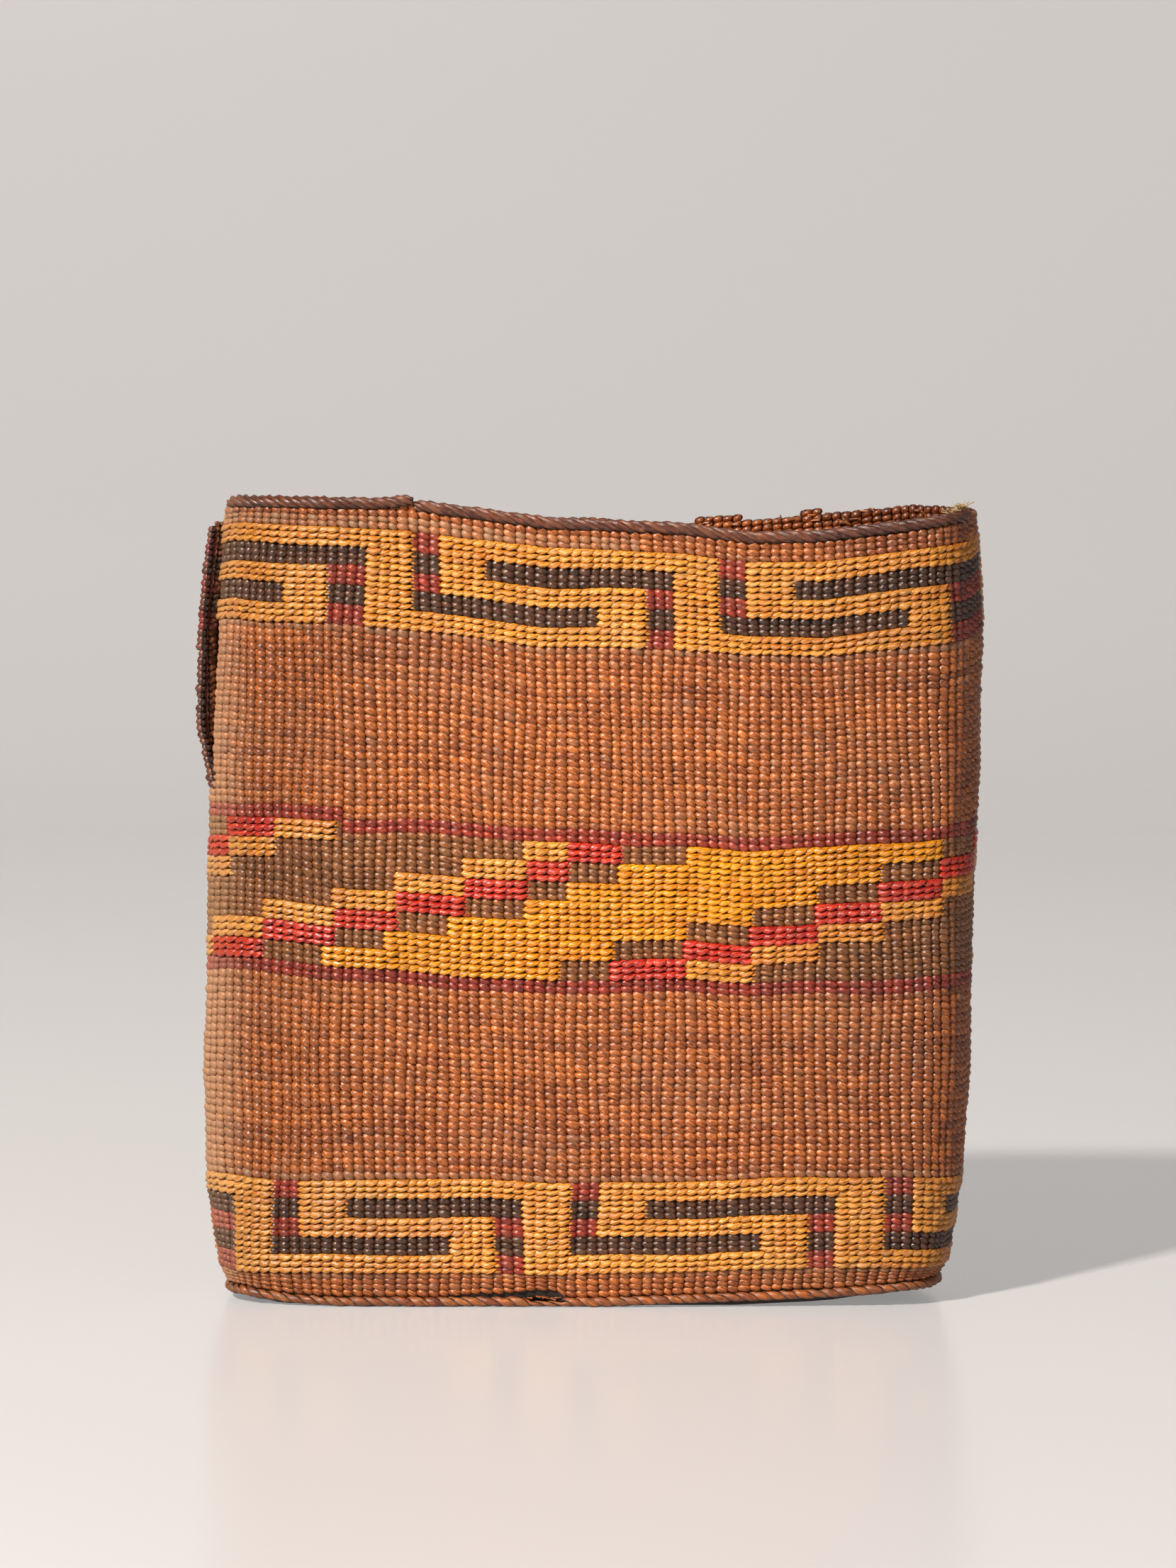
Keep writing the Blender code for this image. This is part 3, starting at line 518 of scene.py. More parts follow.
# An inner stitch is a plain oval
INNER_STATIONS = ((-1, 0, 0, 0), (-.70, .70, .70, .75), (.20, 1, 1, 1), (.80, .75, .75, .70), (1, 0, 0, 0))
ROOT_GRAIN = grain(around=8, stations=ROOT_STATIONS, crown=.72)
GRASS_GRAIN = grain(around=8, stations=GRASS_STATIONS, crown=.48, tuck=.24)
INNER_GRAIN = grain(around=6, stations=INNER_STATIONS, crown=.9)
WISP = tapered(sides=5, cuts=4)

# How far the hand work differs: shares of a column and a row, then ranges for single stitches
WARP_DRIFT = .10
COURSE_DRIFT = .11
HEIGHT_SPREAD = (.90, 1.08)
TILT_SPREAD = (-.08, .08)
DEPTH_SPREAD = (.84, 1.14)
INNER_DULLNESS = .3


def finish_piece(piece, material, nodes):
    """The piece takes its material, rides on the basket and stands for its nodes."""
    piece.data.materials.append(material)
    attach(piece, "root")
    if nodes:
        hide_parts(*nodes)
    return piece


def in_scene(name, data):
    """A new object of the scene that shows the mesh, camera or light given."""
    thing = bpy.data.objects.new(name, data)
    bpy.context.scene.collection.objects.link(thing)
    return thing


def repeated(name, form, points, fibre, stitch):
    """One object of many copies of a form, with the attributes that its material reads."""
    _, corners, sizes, back = form
    count, size = points.shape[:2]
    mesh = bpy.data.meshes.new(name)
    mesh.vertices.add(count * size)
    mesh.vertices.foreach_set("co", points.astype(np.float32).ravel())
    all_corners = (corners[None, :] + size * np.arange(count)[:, None]).ravel()
    mesh.loops.add(len(all_corners))
    mesh.loops.foreach_set("vertex_index", all_corners.astype(np.int32))
    starts = np.concatenate([[0], np.cumsum(sizes)[:-1]])
    all_starts = (starts[None, :] + len(corners) * np.arange(count)[:, None]).ravel()
    mesh.polygons.add(len(all_starts))
    mesh.polygons.foreach_set("loop_start", all_starts.astype(np.int32))
    mesh.polygons.foreach_set("use_smooth", np.tile(~back, count))
    mesh.update(calc_edges=True)
    for label, values in (("fibre", fibre), ("stitch", stitch)):
        attribute = mesh.attributes.new(label, "FLOAT_VECTOR", "POINT")
        attribute.data.foreach_set("vector", values.astype(np.float32).ravel())
    mesh.validate()
    return in_scene(name, mesh)


def dice(columns, rows, salt):
    """An even random number from 0 to 1 for each stitch, the same on each run. Uses differ in salt."""
    mixed = np.sin(columns * 12.9898 + rows * 78.233 + salt * 37.719) * 43758.5453
    return mixed - np.floor(mixed)


def drift(own, along, period, salt):
    """A random value from -1 to 1, smooth along one direction and unrelated across the other."""
    place = along / period + 10 * dice(own, own, salt)
    cell = np.floor(place)
    first = dice(cell, own, salt + 1)
    last = dice(cell + 1, own, salt + 1)
    return 2 * (first + (last - first) * eased(0, 1, place - cell)) - 1


def column_edge(columns, rows):
    """Where a warp's left edge runs at each row: warps are unevenly wide."""
    return columns + WARP_DRIFT * drift(columns % COLUMNS, rows, 8, 51)


def row_edge(columns, rows):
    """Where a course's lower edge runs at each column: courses are unevenly tall."""
    return rows + COURSE_DRIFT * drift(rows, columns, 5, 61)


def tones(columns, rows, salt):
    """The tone of each stitch: one root serves a run of stitches, and each stitch differs a little."""
    run_length = 14 + 30 * dice(rows, rows, 5)
    run = np.floor((columns + 40 * dice(rows, rows, 6)) / run_length)
    return .5 * dice(run, rows, salt) + .5 * dice(columns, rows, salt + 1)


def dullness(columns, rows):
    """How worn each stitch is: some everywhere, and most in the courses that border the bands."""
    beside_band = np.isin(rows, (FOOT_END - 1, LOWER_BAND_END, UPPER_PLAIN_END - 1))
    left_collar = np.isin(rows, (UPPER_BAND_END, UPPER_BAND_END + 1)) * (columns < COLUMNS / 4)
    border = beside_band + 1.6 * left_collar
    patch = np.sin(columns * .23 + rows * .31) + np.sin(columns * .11 - rows * .17 + 2)
    worn = dice(columns, rows, 11) ** 9 * .5 + eased(.4, 2, patch) * (.3 + .5 * dice(columns, rows, 12)) * .35
    return np.clip(.5 * worn + border * (.10 + .35 * dice(columns, rows, 13)), 0, .75)


def stitches(name, form, columns, rows, shape, material, nodes=(), side=1, shift=(0, 0)):
    """Stitches at the centres of cells. side is 1 on the outside and -1 on the inside.

    shape holds half the length in columns, half the height in rows, the tilt in rows, the
    lean in columns, the height, where the stitch starts from, and the rise along it. shift
    moves the stitch off the centre of its cell, in columns and rows.
    """
    length, width, tilt, lean, height, start, rise = shape
    columns = np.asarray(columns, float)
    rows = np.asarray(rows, float)
    unit = form[0]
    x, y, z = (unit[None, :, k] for k in range(3))

    left = column_edge(columns, rows)
    wide = column_edge(columns + 1, rows) - left
    low = row_edge(columns, rows)
    tall = row_edge(columns, rows + 1) - low

    def spread(salt, least, most):
        return (least + (most - least) * dice(columns, rows, salt))[:, None]

    half_length = length * wide[:, None]
    half_width = width * tall[:, None] * spread(22, *HEIGHT_SPREAD)
    turn = tilt + spread(23, *TILT_SPREAD)
    depth = height * spread(24, *DEPTH_SPREAD) * (.6 + .4 * wide[:, None])
    middle_column = (left + (.5 + shift[0]) * wide)[:, None]
    middle_row = (low + (.5 + shift[1]) * tall)[:, None]
    at_column = middle_column + side * (half_length * x + lean * y)
    at_row = middle_row + half_width * y + turn * x
    offset = side * (start + depth * z + rise * x * z)
    if side < 0:
        offset = offset - WALL_THICKNESS
    points = wall(at_column, at_row, offset, columns[:, None] + .5)
    seed = 9 * dice(columns, rows, 31)[:, None]
    fibre = joined(half_length * x * COLUMN_PITCH / MM, half_width * y * MIDDLE_COURSE / MM, seed)
    dull = dullness(columns, rows) * (1 if side > 0 else INNER_DULLNESS)
    # The third mark is the height in the stitch, which the material turns into painted shade in the gaps
    marks = joined(tones(columns, rows, 41)[:, None], dull[:, None], z)
    return finish_piece(repeated(name, form, points, fibre, marks), material, nodes)


# The design in cells


def fret_blocks(units, top_row):
    """The running key fret of one band, as blocks three courses high."""
    levels = [(top_row - BLOCK_ROWS * (step + 1), top_row - BLOCK_ROWS * step)
              for step in range(BAND_BLOCKS)]
    blocks = []
    for place, (bar, hook_end) in enumerate(units):
        following = units[place + 1][0] if place + 1 < len(units) else units[0][0] + COLUMNS
        blocks.append((bar + FRET_HOOK_START, following + FRET_BAR, *levels[0]))
        blocks.append((bar + FRET_HOOK_START, bar + FRET_HOOK_END, *levels[1]))
        blocks.append((bar + FRET_HOOK_START, hook_end, *levels[2]))
        blocks.append((hook_end - FRET_BAR, hook_end, *levels[3]))
        blocks.append((bar, hook_end, *levels[4]))
        blocks += [(bar, bar + FRET_BAR, *level) for level in levels[1:4]]
    return blocks


def step_blocks(steps, on_back):
    """One stepped figure of the middle band. The back one is drawn out to fill the way round."""
    blocks = []
    for step, ends in enumerate(steps):
        high = MIDDLE_END - BLOCK_ROWS * step
        if on_back:
            ends = [round(float(curve(BACK_UNIT_COLUMNS, end))) for end in ends]
        blocks.append((*ends, high - BLOCK_ROWS, high))
    return blocks


def stair_steps(edges, first):
    """Both ends of one colour's steps in a stair. first is 0 for the colour on the right, else 1."""
    return [(edges[step + first + 1], edges[step + first]) for step in range(len(edges) - 2)]


def cells_of(blocks):
    """The cells, as (column, row), that blocks of columns and rows cover."""
    return {(column % COLUMNS, row) for first, last, low, high in blocks
            for column in range(first, last) for row in range(low, high)}


OVERLAYS = {
    "lower_fret_grass": (fret_blocks(LOWER_FRET_UNITS, LOWER_BAND_END), GOLD_GRASS, "gold_grass",
                         ("lower_fret_overlay",)),
    "upper_fret_grass": (fret_blocks(UPPER_FRET_UNITS, UPPER_BAND_END), GOLD_GRASS, "gold_grass",
                         ("upper_fret_overlay", "upper_fret_front_hook", "upper_fret_torn_end")),
}
for where, on_back in (("front", False), ("back", True)):
    OVERLAYS[where + "_yellow_grass"] = (step_blocks(YELLOW_STEPS, on_back), YELLOW_GRASS, "yellow_grass",
                                         (where + "_yellow_steps",))
    for stair, edges, shades in (("upper_stair", UPPER_STAIR_EDGES, {"gold": 1, "red": 0}),
                                 ("lower_stair", LOWER_STAIR_EDGES, {"gold": 0, "red": 1})):
        for shade, first in shades.items():
            OVERLAYS[f"{where}_{stair}_{shade}_grass"] = (
                step_blocks(stair_steps(edges, first), on_back),
                GOLD_GRASS if shade == "gold" else RED_GRASS, "red_grass", (f"{where}_{stair}",))
COVERED = set().union(*(cells_of(blocks) for blocks, _, _, _ in OVERLAYS.values()))

# Zones of courses: name, first and last row, material of each ground, slot and node
ZONES = (
    ("foot", 0, FOOT_END, {"": NATURAL_ROOT}, "brown_root", "foot_courses"),
    ("lower_band", FOOT_END, LOWER_BAND_END, {"_red": RED_ROOT, "_dark": DARK_ROOT}, "band_root",
     "lower_band_courses"),
    ("lower_plain", LOWER_BAND_END, LOWER_PLAIN_END, {"": NATURAL_ROOT}, "brown_root", "lower_plain_courses"),
    ("lower_line", LOWER_PLAIN_END, LOWER_LINE_END, {"": RED_ROOT}, "line_root", "lower_line_courses"),
    ("middle_band", LOWER_LINE_END, MIDDLE_END, {"": BROWN_ROOT}, "middle_root", "middle_band_courses"),
    ("upper_line", MIDDLE_END, UPPER_LINE_END, {"": RED_ROOT}, "line_root", "upper_line_courses"),
    ("upper_plain", UPPER_LINE_END, UPPER_PLAIN_END, {"": NATURAL_ROOT}, "brown_root", "upper_plain_courses"),
    ("upper_band", UPPER_PLAIN_END, UPPER_BAND_END, {"_red": RED_ROOT, "_dark": DARK_ROOT}, "band_root",
     "upper_band_courses"),
    ("collar", UPPER_BAND_END, TOP_ROW, {"": NATURAL_ROOT}, "brown_root", "collar_courses"),
)

# Shapes of the stitches: half length, half height, tilt, lean, height, start, rise
ROOT_SHAPE = (.66, .74, -.15, .00, 1.56 * MM, -1.42 * MM, .22 * MM)
INNER_SHAPE = (.54, .68, .12, .02, 1.15 * MM, -1.00 * MM, .10 * MM)
GRASS_SHAPE = (.66, .57, -.05, .28, 1.35 * MM, -1.00 * MM, .22 * MM)
STEP_TURN_SHAPE = (.62, .85, -.15, 0, 1.5 * MM, -1.9 * MM, 0)
FLAP_EDGE_SHAPE = (.60, .62, .15, .04, 2.2 * MM, -2.2 * MM, 0)
FLAP_OUTSIDE_SHAPE = (.48, .74, -.05, .04, 1.9 * MM, -1.2 * MM, 0)
GRASS_TIP_SHAPE = (.26, .22, -.10, .12, .70 * MM, -.6 * MM, -.10 * MM)


def ground_of(rows, top_row):
    """Which ground a band's rows have, in blocks from its top row down: 0 is red and 1 is dark."""
    return ((top_row - 1 - rows) // BLOCK_ROWS) % 2


def lost(columns, rows):
    """Where stitches have fallen away along the back rim."""
    at_back = (columns > ROPE_END_COLUMN + 4) & (columns < COLUMNS)
    depth = .6 + 1.5 * drift(columns * 0, columns, 5, 81) + .9 * dice(columns, columns, 82)
    return at_back & (rows >= TOP_ROW - depth)


def torn(columns, rows):
    """The outer face of the torn flap, worn down to the wefts' inner turns."""
    return (columns >= COLUMNS - 2) & (rows >= TEAR_ROW)


def zone_stitches(name, first, last, grounds, slot, node):
    """Both faces of one zone: a stitch for each warp and course, but for those under the grass."""
    rows, columns = np.meshgrid(np.arange(first, last), np.arange(COLUMNS), indexing="ij")
    rows = rows.ravel()
    columns = columns.ravel()
    seen = np.array([(column, row) not in COVERED for column, row in zip(columns, rows)])
    for place, (suffix, material) in enumerate(grounds.items()):
        own = np.ones(len(rows), bool)
        if len(grounds) > 1:
            own = ground_of(rows, last) == place
        own = own & ~lost(columns, rows)
        outer = own & seen & ~torn(columns, rows)
        stitches(name + suffix + "_stitches", ROOT_GRAIN, columns[outer], rows[outer], ROOT_SHAPE,
                 material, (node,))
        within = INNER_ROOT if material is NATURAL_ROOT else material
        if name == "upper_band":
            plain = own & (columns < FLAP_COLUMN)
            stitches(name + suffix + "_plain_inner_stitches", INNER_GRAIN, columns[plain], rows[plain],
                     INNER_SHAPE, INNER_ROOT, side=-1)
            own = own & ~plain
        stitches(name + suffix + "_inner_stitches", INNER_GRAIN, columns[own], rows[own], INNER_SHAPE,
                 within, side=-1)


def grass_stitches(name, blocks, material, slot, nodes):
    """Slanted stitches over one figure, with a small pointed one where a run ends at its right."""
    cells = [cell for cell in sorted(cells_of(blocks)) if not (lost(*cell) or torn(*cell))]
    columns, rows = (np.array(values) for values in zip(*cells))
    stitches(name, GRASS_GRAIN, columns, rows, GRASS_SHAPE, material, nodes, shift=(.10, 0))
    ends = [(column, row) for column, row in cells if ((column + 1) % COLUMNS, row) not in COVERED]
    if ends:
        columns, rows = (np.array(values) for values in zip(*ends))
        stitches(name + "_tips", GRASS_GRAIN, columns, rows, GRASS_TIP_SHAPE, material,
                 shift=(.90, -.12))


def flap_edge():
    """The last turns of weft, round the edge of the torn flap and on its worn outer face."""
    rows = np.arange(TEAR_ROW, TOP_ROW - 1)
    banded = (rows >= UPPER_PLAIN_END) & (rows < UPPER_BAND_END)
    in_red = banded & (ground_of(rows, UPPER_BAND_END) == 0)
    for name, chosen, material, slot in (
            ("flap_edge_red", in_red, FLAP_RED_ROOT, "band_root"),
            ("flap_edge_dark", banded & ~in_red, FLAP_DARK_ROOT, "band_root"),
            ("flap_edge_brown", ~banded, FLAP_DARK_ROOT, "brown_root")):
        own = rows[chosen]
        columns = COLUMNS - .45 + .35 * dice(own, own, 84)
        stitches(name, ROOT_GRAIN, columns, own, FLAP_EDGE_SHAPE, material, side=-1)
        pairs = np.repeat(own, 2)
        places = np.arange(len(pairs))
        columns = COLUMNS - .8 - places % 2 + .3 * dice(pairs, places, 86)
        stitches(name + "_outside", ROOT_GRAIN, columns, pairs, FLAP_OUTSIDE_SHAPE, material)


def front_edge():
    """The last turns of weft and grass, round the front edge of the tear."""
    rows = np.arange(TEAR_ROW, TOP_ROW)
    golden = np.array([(0, row) in COVERED for row in rows])
    banded = (rows >= UPPER_PLAIN_END) & (rows < UPPER_BAND_END)
    for name, form, chosen, shape, material, slot in (
            ("front_edge_gold", GRASS_GRAIN, golden, GRASS_SHAPE, GOLD_GRASS, "gold_grass"),
            ("front_edge_dark", ROOT_GRAIN, banded & ~golden, ROOT_SHAPE, DARK_ROOT, "band_root"),
            ("front_edge_brown", ROOT_GRAIN, ~banded & ~golden, ROOT_SHAPE, NATURAL_ROOT, "brown_root")):
        columns = -.75 + .2 * dice(rows[chosen], rows[chosen], 85)
        stitches(name, form, columns, rows[chosen], shape, material)


def rope_step_turns():
    """Turns of weft that fill the step under the end of the left rope."""
    columns = np.arange(int(ROPE_SPLICE_COLUMN) - 5, int(ROPE_SPLICE_COLUMN) + 1)
    stitches("rope_step_turns", ROOT_GRAIN, columns, np.full(len(columns), TOP_ROW), STEP_TURN_SHAPE,
             NATURAL_ROOT)


for zone in ZONES:
    zone_stitches(*zone)
flap_edge()
front_edge()
rope_step_turns()
for overlay_name, overlay_parts in OVERLAYS.items():
    grass_stitches(overlay_name, *overlay_parts)


# Sheets and strands rolled from a grid
WARP_DEPTH = 1.0 * MM
WARP_THICKNESS = .6 * MM
WARP_FLOOR_GAP = .5 * MM
ROPE_RINGS_PER_COLUMN = 4
ROPE_SIDES = 8
# A strand's half thickness and the depth of its middle in the rope, as shares of the rope's height,
# and its half width as a share of the room for it
STRAND_THICKNESS = .34
STRAND_INSET = .30
STRAND_OVERLAP = .52


def from_grid(name, across, up, place, ends_closed=False):
    """A grid carried by place(u, v), with u and v from 0 to 1, seams merged and ends closed.

    place also gives each point's fibre and stitch values.
    """
    form = bmesh.new()
    bmesh.ops.create_grid(form, x_segments=across, y_segments=up, size=1)
    spots = np.array([vertex.co for vertex in form.verts])
    points, fibre, marks = place((spots[:, 0] + 1) / 2, (spots[:, 1] + 1) / 2)
    layers = [form.verts.layers.float_vector.new(label) for label in ("fibre", "stitch")]
    for vertex, point, along, mark in zip(form.verts, points.tolist(), fibre.tolist(), marks.tolist()):
        vertex.co = point
        vertex[layers[0]] = along
        vertex[layers[1]] = mark
    bmesh.ops.remove_doubles(form, verts=form.verts, dist=.002 * MM)
    if ends_closed:
        bmesh.ops.holes_fill(form, edges=[edge for edge in form.edges if edge.is_boundary])
    bmesh.ops.recalc_face_normals(form, faces=form.faces)
    for face in form.faces:
        face.smooth = True
    mesh = bpy.data.meshes.new(name)
    form.to_mesh(mesh)
    form.free()
    return in_scene(name, mesh)


def warp_sheet(name, across, up, place, thickness, offset):
    """Warps as one thin sheet between stitches, dark as painted shade in the gaps. place gives its points and
    fibre values.
    """
    def with_marks(u, v):
        # The third mark sends the sheet partway to its painted shade colour
        return *place(u, v), joined(.5 + 0 * u, 0, .3)

    piece = from_grid(name, across, up, with_marks)
    thicken = piece.modifiers.new("thickness", "SOLIDIFY")
    thicken.thickness = thickness
    thicken.offset = offset
    return finish_piece(piece, WARP_ROOT, ())


def wall_core(u, v):
    """The wall's warps: cut lower where the back rim is lost, and reaching down behind the slit, where their
    painted shade fills the gap.
    """
    columns = u * COLUMNS
    top = TOP_ROW - 3 * eased(ROPE_END_COLUMN, ROPE_END_COLUMN + 4, columns)
    rows = v * top - 2.4 * (1 - v) ** 8
    points = wall(columns, rows, np.full(len(u), -WARP_DEPTH))
    points[:, 2] = np.maximum(points[:, 2], WARP_FLOOR_GAP)
    return points, joined(rows * 2, columns * 3, 0)


def rope_strand(name, first, last, row, lift, height, width, strands, lead, number, closed, sunk):
    """One strand of a rope that winds round the wall's edge, seen from outside as a falling slant.

    lead is the length of one turn in columns. sunk is the share of its thickness that the
    strand has lost along the open slit.
    """
    slope = math.atan(math.pi * height / (COLUMN_PITCH * lead))
    widest = STRAND_OVERLAP * COLUMN_PITCH * lead / strands * math.sin(slope)
    rings = int(round((last - first) * ROPE_RINGS_PER_COLUMN))

    def place(u, v):
        columns = first + u * (last - first)
        turn = -2 * math.pi * (columns / lead + number / strands)
        side = 2 * math.pi * v
        part = np.floor(columns / lead + number / strands + .25)
        swell = .84 + .32 * dice(part, part * 0 + number, 72) + .06 * np.sin(columns * 5.3 + number)
        if not closed:
            swell = swell * (.55 + .45 * eased(0, .8, columns - first) * eased(0, .8, last - columns))
        opened = sunk * eased(SLIT_START, SLIT_START + 1, columns) * eased(0, .3, SLIT_END - columns)
        swell = swell * (1 - opened)
        thick = STRAND_THICKNESS * height * swell
        wide = widest * swell * (.82 + .24 * np.cos(turn) ** 2)
        reach_out = (width / 2 - STRAND_INSET * height) * np.cos(turn)
        reach_up = (height / 2 - STRAND_INSET * height) * np.sin(turn)
        around = wide * np.sin(side) * math.cos(slope)
        ahead = wide * np.sin(side) * math.sin(slope) / COLUMN_PITCH
        out = reach_out + thick * np.cos(side) * np.cos(turn) - around * np.sin(turn)
        up = reach_up + thick * np.cos(side) * np.sin(turn) + around * np.cos(turn)
        middle = wall(columns + ahead, np.full(len(u), float(row)), out - WALL_THICKNESS / 2, columns)
        risen = np.maximum(height / 2 + up, 0) * (1 - opened)
        middle[:, 2] = lift(columns + ahead) + risen
        fibre = joined(columns * 2.9, 1.5 * np.cos(side) + 1.1 * np.sin(side), 7 * number)
        # Painted shade: dark in the grooves between strands, and a painted contact shadow along the rope's
        # underside
        unshaded_share = np.clip(2 * np.cos(side) - .9, 0, 1) * eased(.04, .26, risen / height)
        tone, dull = (dice(part, part * 0 + number, salt) for salt in (row + 3, 71))
        return middle, fibre, joined(tone, .3 * dull, unshaded_share)

    return from_grid(name, rings, ROPE_SIDES, place, ends_closed=True)


def rope(name, first, last, row, lift, height, width, strands, lead, material, node,
         closed=False, sunk=0):
    """A rope of several strands in one piece."""
    parts = [rope_strand(name, first, last, row, lift, height, width, strands, lead, number, closed, sunk)
             for number in range(strands)]
    bpy.ops.object.select_all(action="DESELECT")
    for part in parts:
        part.select_set(True)
    bpy.context.view_layer.objects.active = parts[0]
    bpy.ops.object.join()
    parts[0].name = name
    return finish_piece(parts[0], material, (node,))


def rim_height(columns):
    """Underside of the rim rope."""
    rows = np.full(np.shape(columns), float(TOP_ROW))
    return wall(columns, rows, np.zeros(np.shape(columns)))[..., 2] - SEAM_CLEARANCE


def left_rim_height(columns):
    """The left rope rides up over the end of the right one."""
    return rim_height(columns) + RIM_STEP * np.clip(1 - (ROPE_SPLICE_COLUMN - columns) / SPLICE_COLUMNS, 0, 1)


warp_sheet("warp_sheet", COLUMNS * 2, TOP_ROW, wall_core, WARP_THICKNESS, -1)
rope("base_border_strands", 0, COLUMNS, 0, base_lift, BORDER_ROPE_HEIGHT, BORDER_ROPE_WIDTH,
     strands=3, lead=4, material=BORDER_ROOT, node="base_border", closed=True, sunk=.35)
rope("rim_rope_left_strands", ROPE_START_COLUMN, ROPE_SPLICE_COLUMN, TOP_ROW, left_rim_height,
     RIM_ROPE_HEIGHT, RIM_ROPE_WIDTH, strands=5, lead=5, material=ROPE_ROOT,
     node="rim_rope_left")
rope("rim_rope_right_strands", ROPE_SPLICE_COLUMN + .15, ROPE_END_COLUMN, TOP_ROW, rim_height,
     RIM_ROPE_HEIGHT, RIM_ROPE_WIDTH, strands=5, lead=5.6, material=ROPE_ROOT,
     node="rim_rope_right")


# Loose and broken strands


def scatter(count, salt, least, most):
    """Even random numbers for so many strands, the same on each run."""
    return least + (most - least) * dice(np.arange(count), np.full(count, salt), salt)


def directions(along, salt, out, up):
    """Directions along the wall, out of it and up. out and up are ranges to scatter within."""
    return joined(along, scatter(len(along), salt, *out), scatter(len(along), salt + 1, *up))


def wisps(name, columns, rows, headings, curls, salt, offsets, lengths, radii, material):
    """Tapered strands that start in the wall, head one way and curl another.

    offsets, lengths and radii are ranges in millimetres to scatter within.
    """
    count = len(columns)
    offset = scatter(count, salt, *offsets) * MM
    length = scatter(count, salt + 1, *lengths)[:, None] * MM
    radius = scatter(count, salt + 2, *radii)[:, None] * MM
    start = wall(columns, rows, offset)
    along = wall(columns + .5, rows, offset) - wall(columns - .5, rows, offset)
    along[:, 2] = 0
    along /= np.linalg.norm(along, axis=1)[:, None]
    out = joined(along[:, 1], -along[:, 0], 0)
    up = np.array([0, 0, 1])

    def turned(parts):
        return parts[:, :1] * along + parts[:, 1:2] * out + parts[:, 2:] * up

    heading = turned(headings)
    heading /= np.linalg.norm(heading, axis=1)[:, None]
    curl = turned(curls)
    aside = np.cross(heading, up + .3 * out)
    aside /= np.linalg.norm(aside, axis=1)[:, None]
    other = np.cross(heading, aside)
    x, y, z = (WISP[0][None, :, k] for k in range(3))
    reach = z[..., None] * heading[:, None] + (z * z)[..., None] * curl[:, None]
    points = start[:, None] + length[..., None] * reach
    points = points + radius[..., None] * (x[..., None] * aside[:, None] + y[..., None] * other[:, None])
    fibre = joined(length / MM * z, radius / MM * (x + y), 9 * dice(columns, rows, 91)[:, None])
    marks = joined(dice(columns, rows, 92)[:, None], .5 * dice(columns, rows, 93)[:, None], .55 + .45 * z)
    return finish_piece(repeated(name, WISP, points, fibre, marks), material, ())


def rim_ends():
    """Cut warps and broken rope strands along the back rim, where its rope is lost."""
    columns = np.arange(np.ceil(ROPE_END_COLUMN) + 2, COLUMNS) + .5
    count = len(columns)
    wisps("back_rim_warp_ends", columns + scatter(count, 101, -.3, .3),
          TOP_ROW - 3 + scatter(count, 102, -.5, .6),
          headings=directions(scatter(count, 103, -.5, .5), 104, (-.3, .3), (1, 1)),
          curls=directions(scatter(count, 105, -.3, .3), 106, (-.2, .2), (-.2, 0)),
          salt=108, offsets=(-1.7, -.8), lengths=(2.2, 4.6), radii=(.60, .95),
          material=INNER_ROOT)
    count = 120
    columns = scatter(count, 111, ROPE_END_COLUMN + 2, COLUMNS - 1)
    way = np.sign(scatter(count, 112, -1, 1))
    wisps("back_rim_rope_remains", columns, TOP_ROW - scatter(count, 118, .9, 2.8),
          headings=directions(way, 113, (-.2, .2), (-.12, .22)),
          curls=directions(0 * way, 116, (-.2, .2), (-.2, .12)),
          salt=119, offsets=(-2.4, -.2), lengths=(1.6, 3.6), radii=(.5, .8),
          material=BORDER_ROOT)


def tear_ends():
    """Broken weft ends down both edges of the tear."""
    rows = np.repeat(np.arange(TEAR_ROW + 1, TOP_ROW), 2) + .5
    count = len(rows)
    at_back = np.arange(count) % 2 == 0
    way = np.where(at_back, 1, -1)
    wisps("torn_edge_weft_ends", np.where(at_back, COLUMNS - .2, .3), rows + scatter(count, 131, -.3, .3),
          headings=directions(way, 132, (-.5, .5), (-.5, .5)),
          curls=directions(-.2 * way, 134, (-.4, .4), (-.4, .4)),
          salt=136, offsets=(-1.9, -.5), lengths=(.5, 1.4), radii=(.4, .8),
          material=INNER_ROOT)


def corner_frays():
    """Pale split fibres where the rim is worn through at the right corner."""
    count = 120
    wisps("right_corner_frays", scatter(count, 151, ROPE_END_COLUMN - 2.9, ROPE_END_COLUMN + .5),
          TOP_ROW + scatter(count, 158, .2, 2),
          headings=directions(scatter(count, 152, -1, 1), 153, (-.8, .5), (0, .5)),
          curls=directions(scatter(count, 155, -.9, .9), 156, (-.9, .9), (-.4, .5)),
          salt=159, offsets=(-3.8, -1.2), lengths=(1, 2.2), radii=(.22, .42),
          material=PALE_FIBRE)


def slit_ends():
    """Broken ends in the slit between the foot courses and the border rope."""
    count = 12
    way = np.sign(scatter(count, 172, -1, 1))
    wisps("slit_weft_ends", scatter(count, 171, SLIT_START + .4, SLIT_END - .9),
          scatter(count, 177, -2.4, -1.9),
          headings=directions(way, 173, (-.3, .3), (-.05, .2)),
          curls=directions(0 * way, 175, (-.3, .3), (0, .2)),
          salt=178, offsets=(-1.4, -.3), lengths=(1, 2.2), radii=(.3, .5),
          material=BORDER_ROOT)


rim_ends()
tear_ends()
corner_frays()
slit_ends()


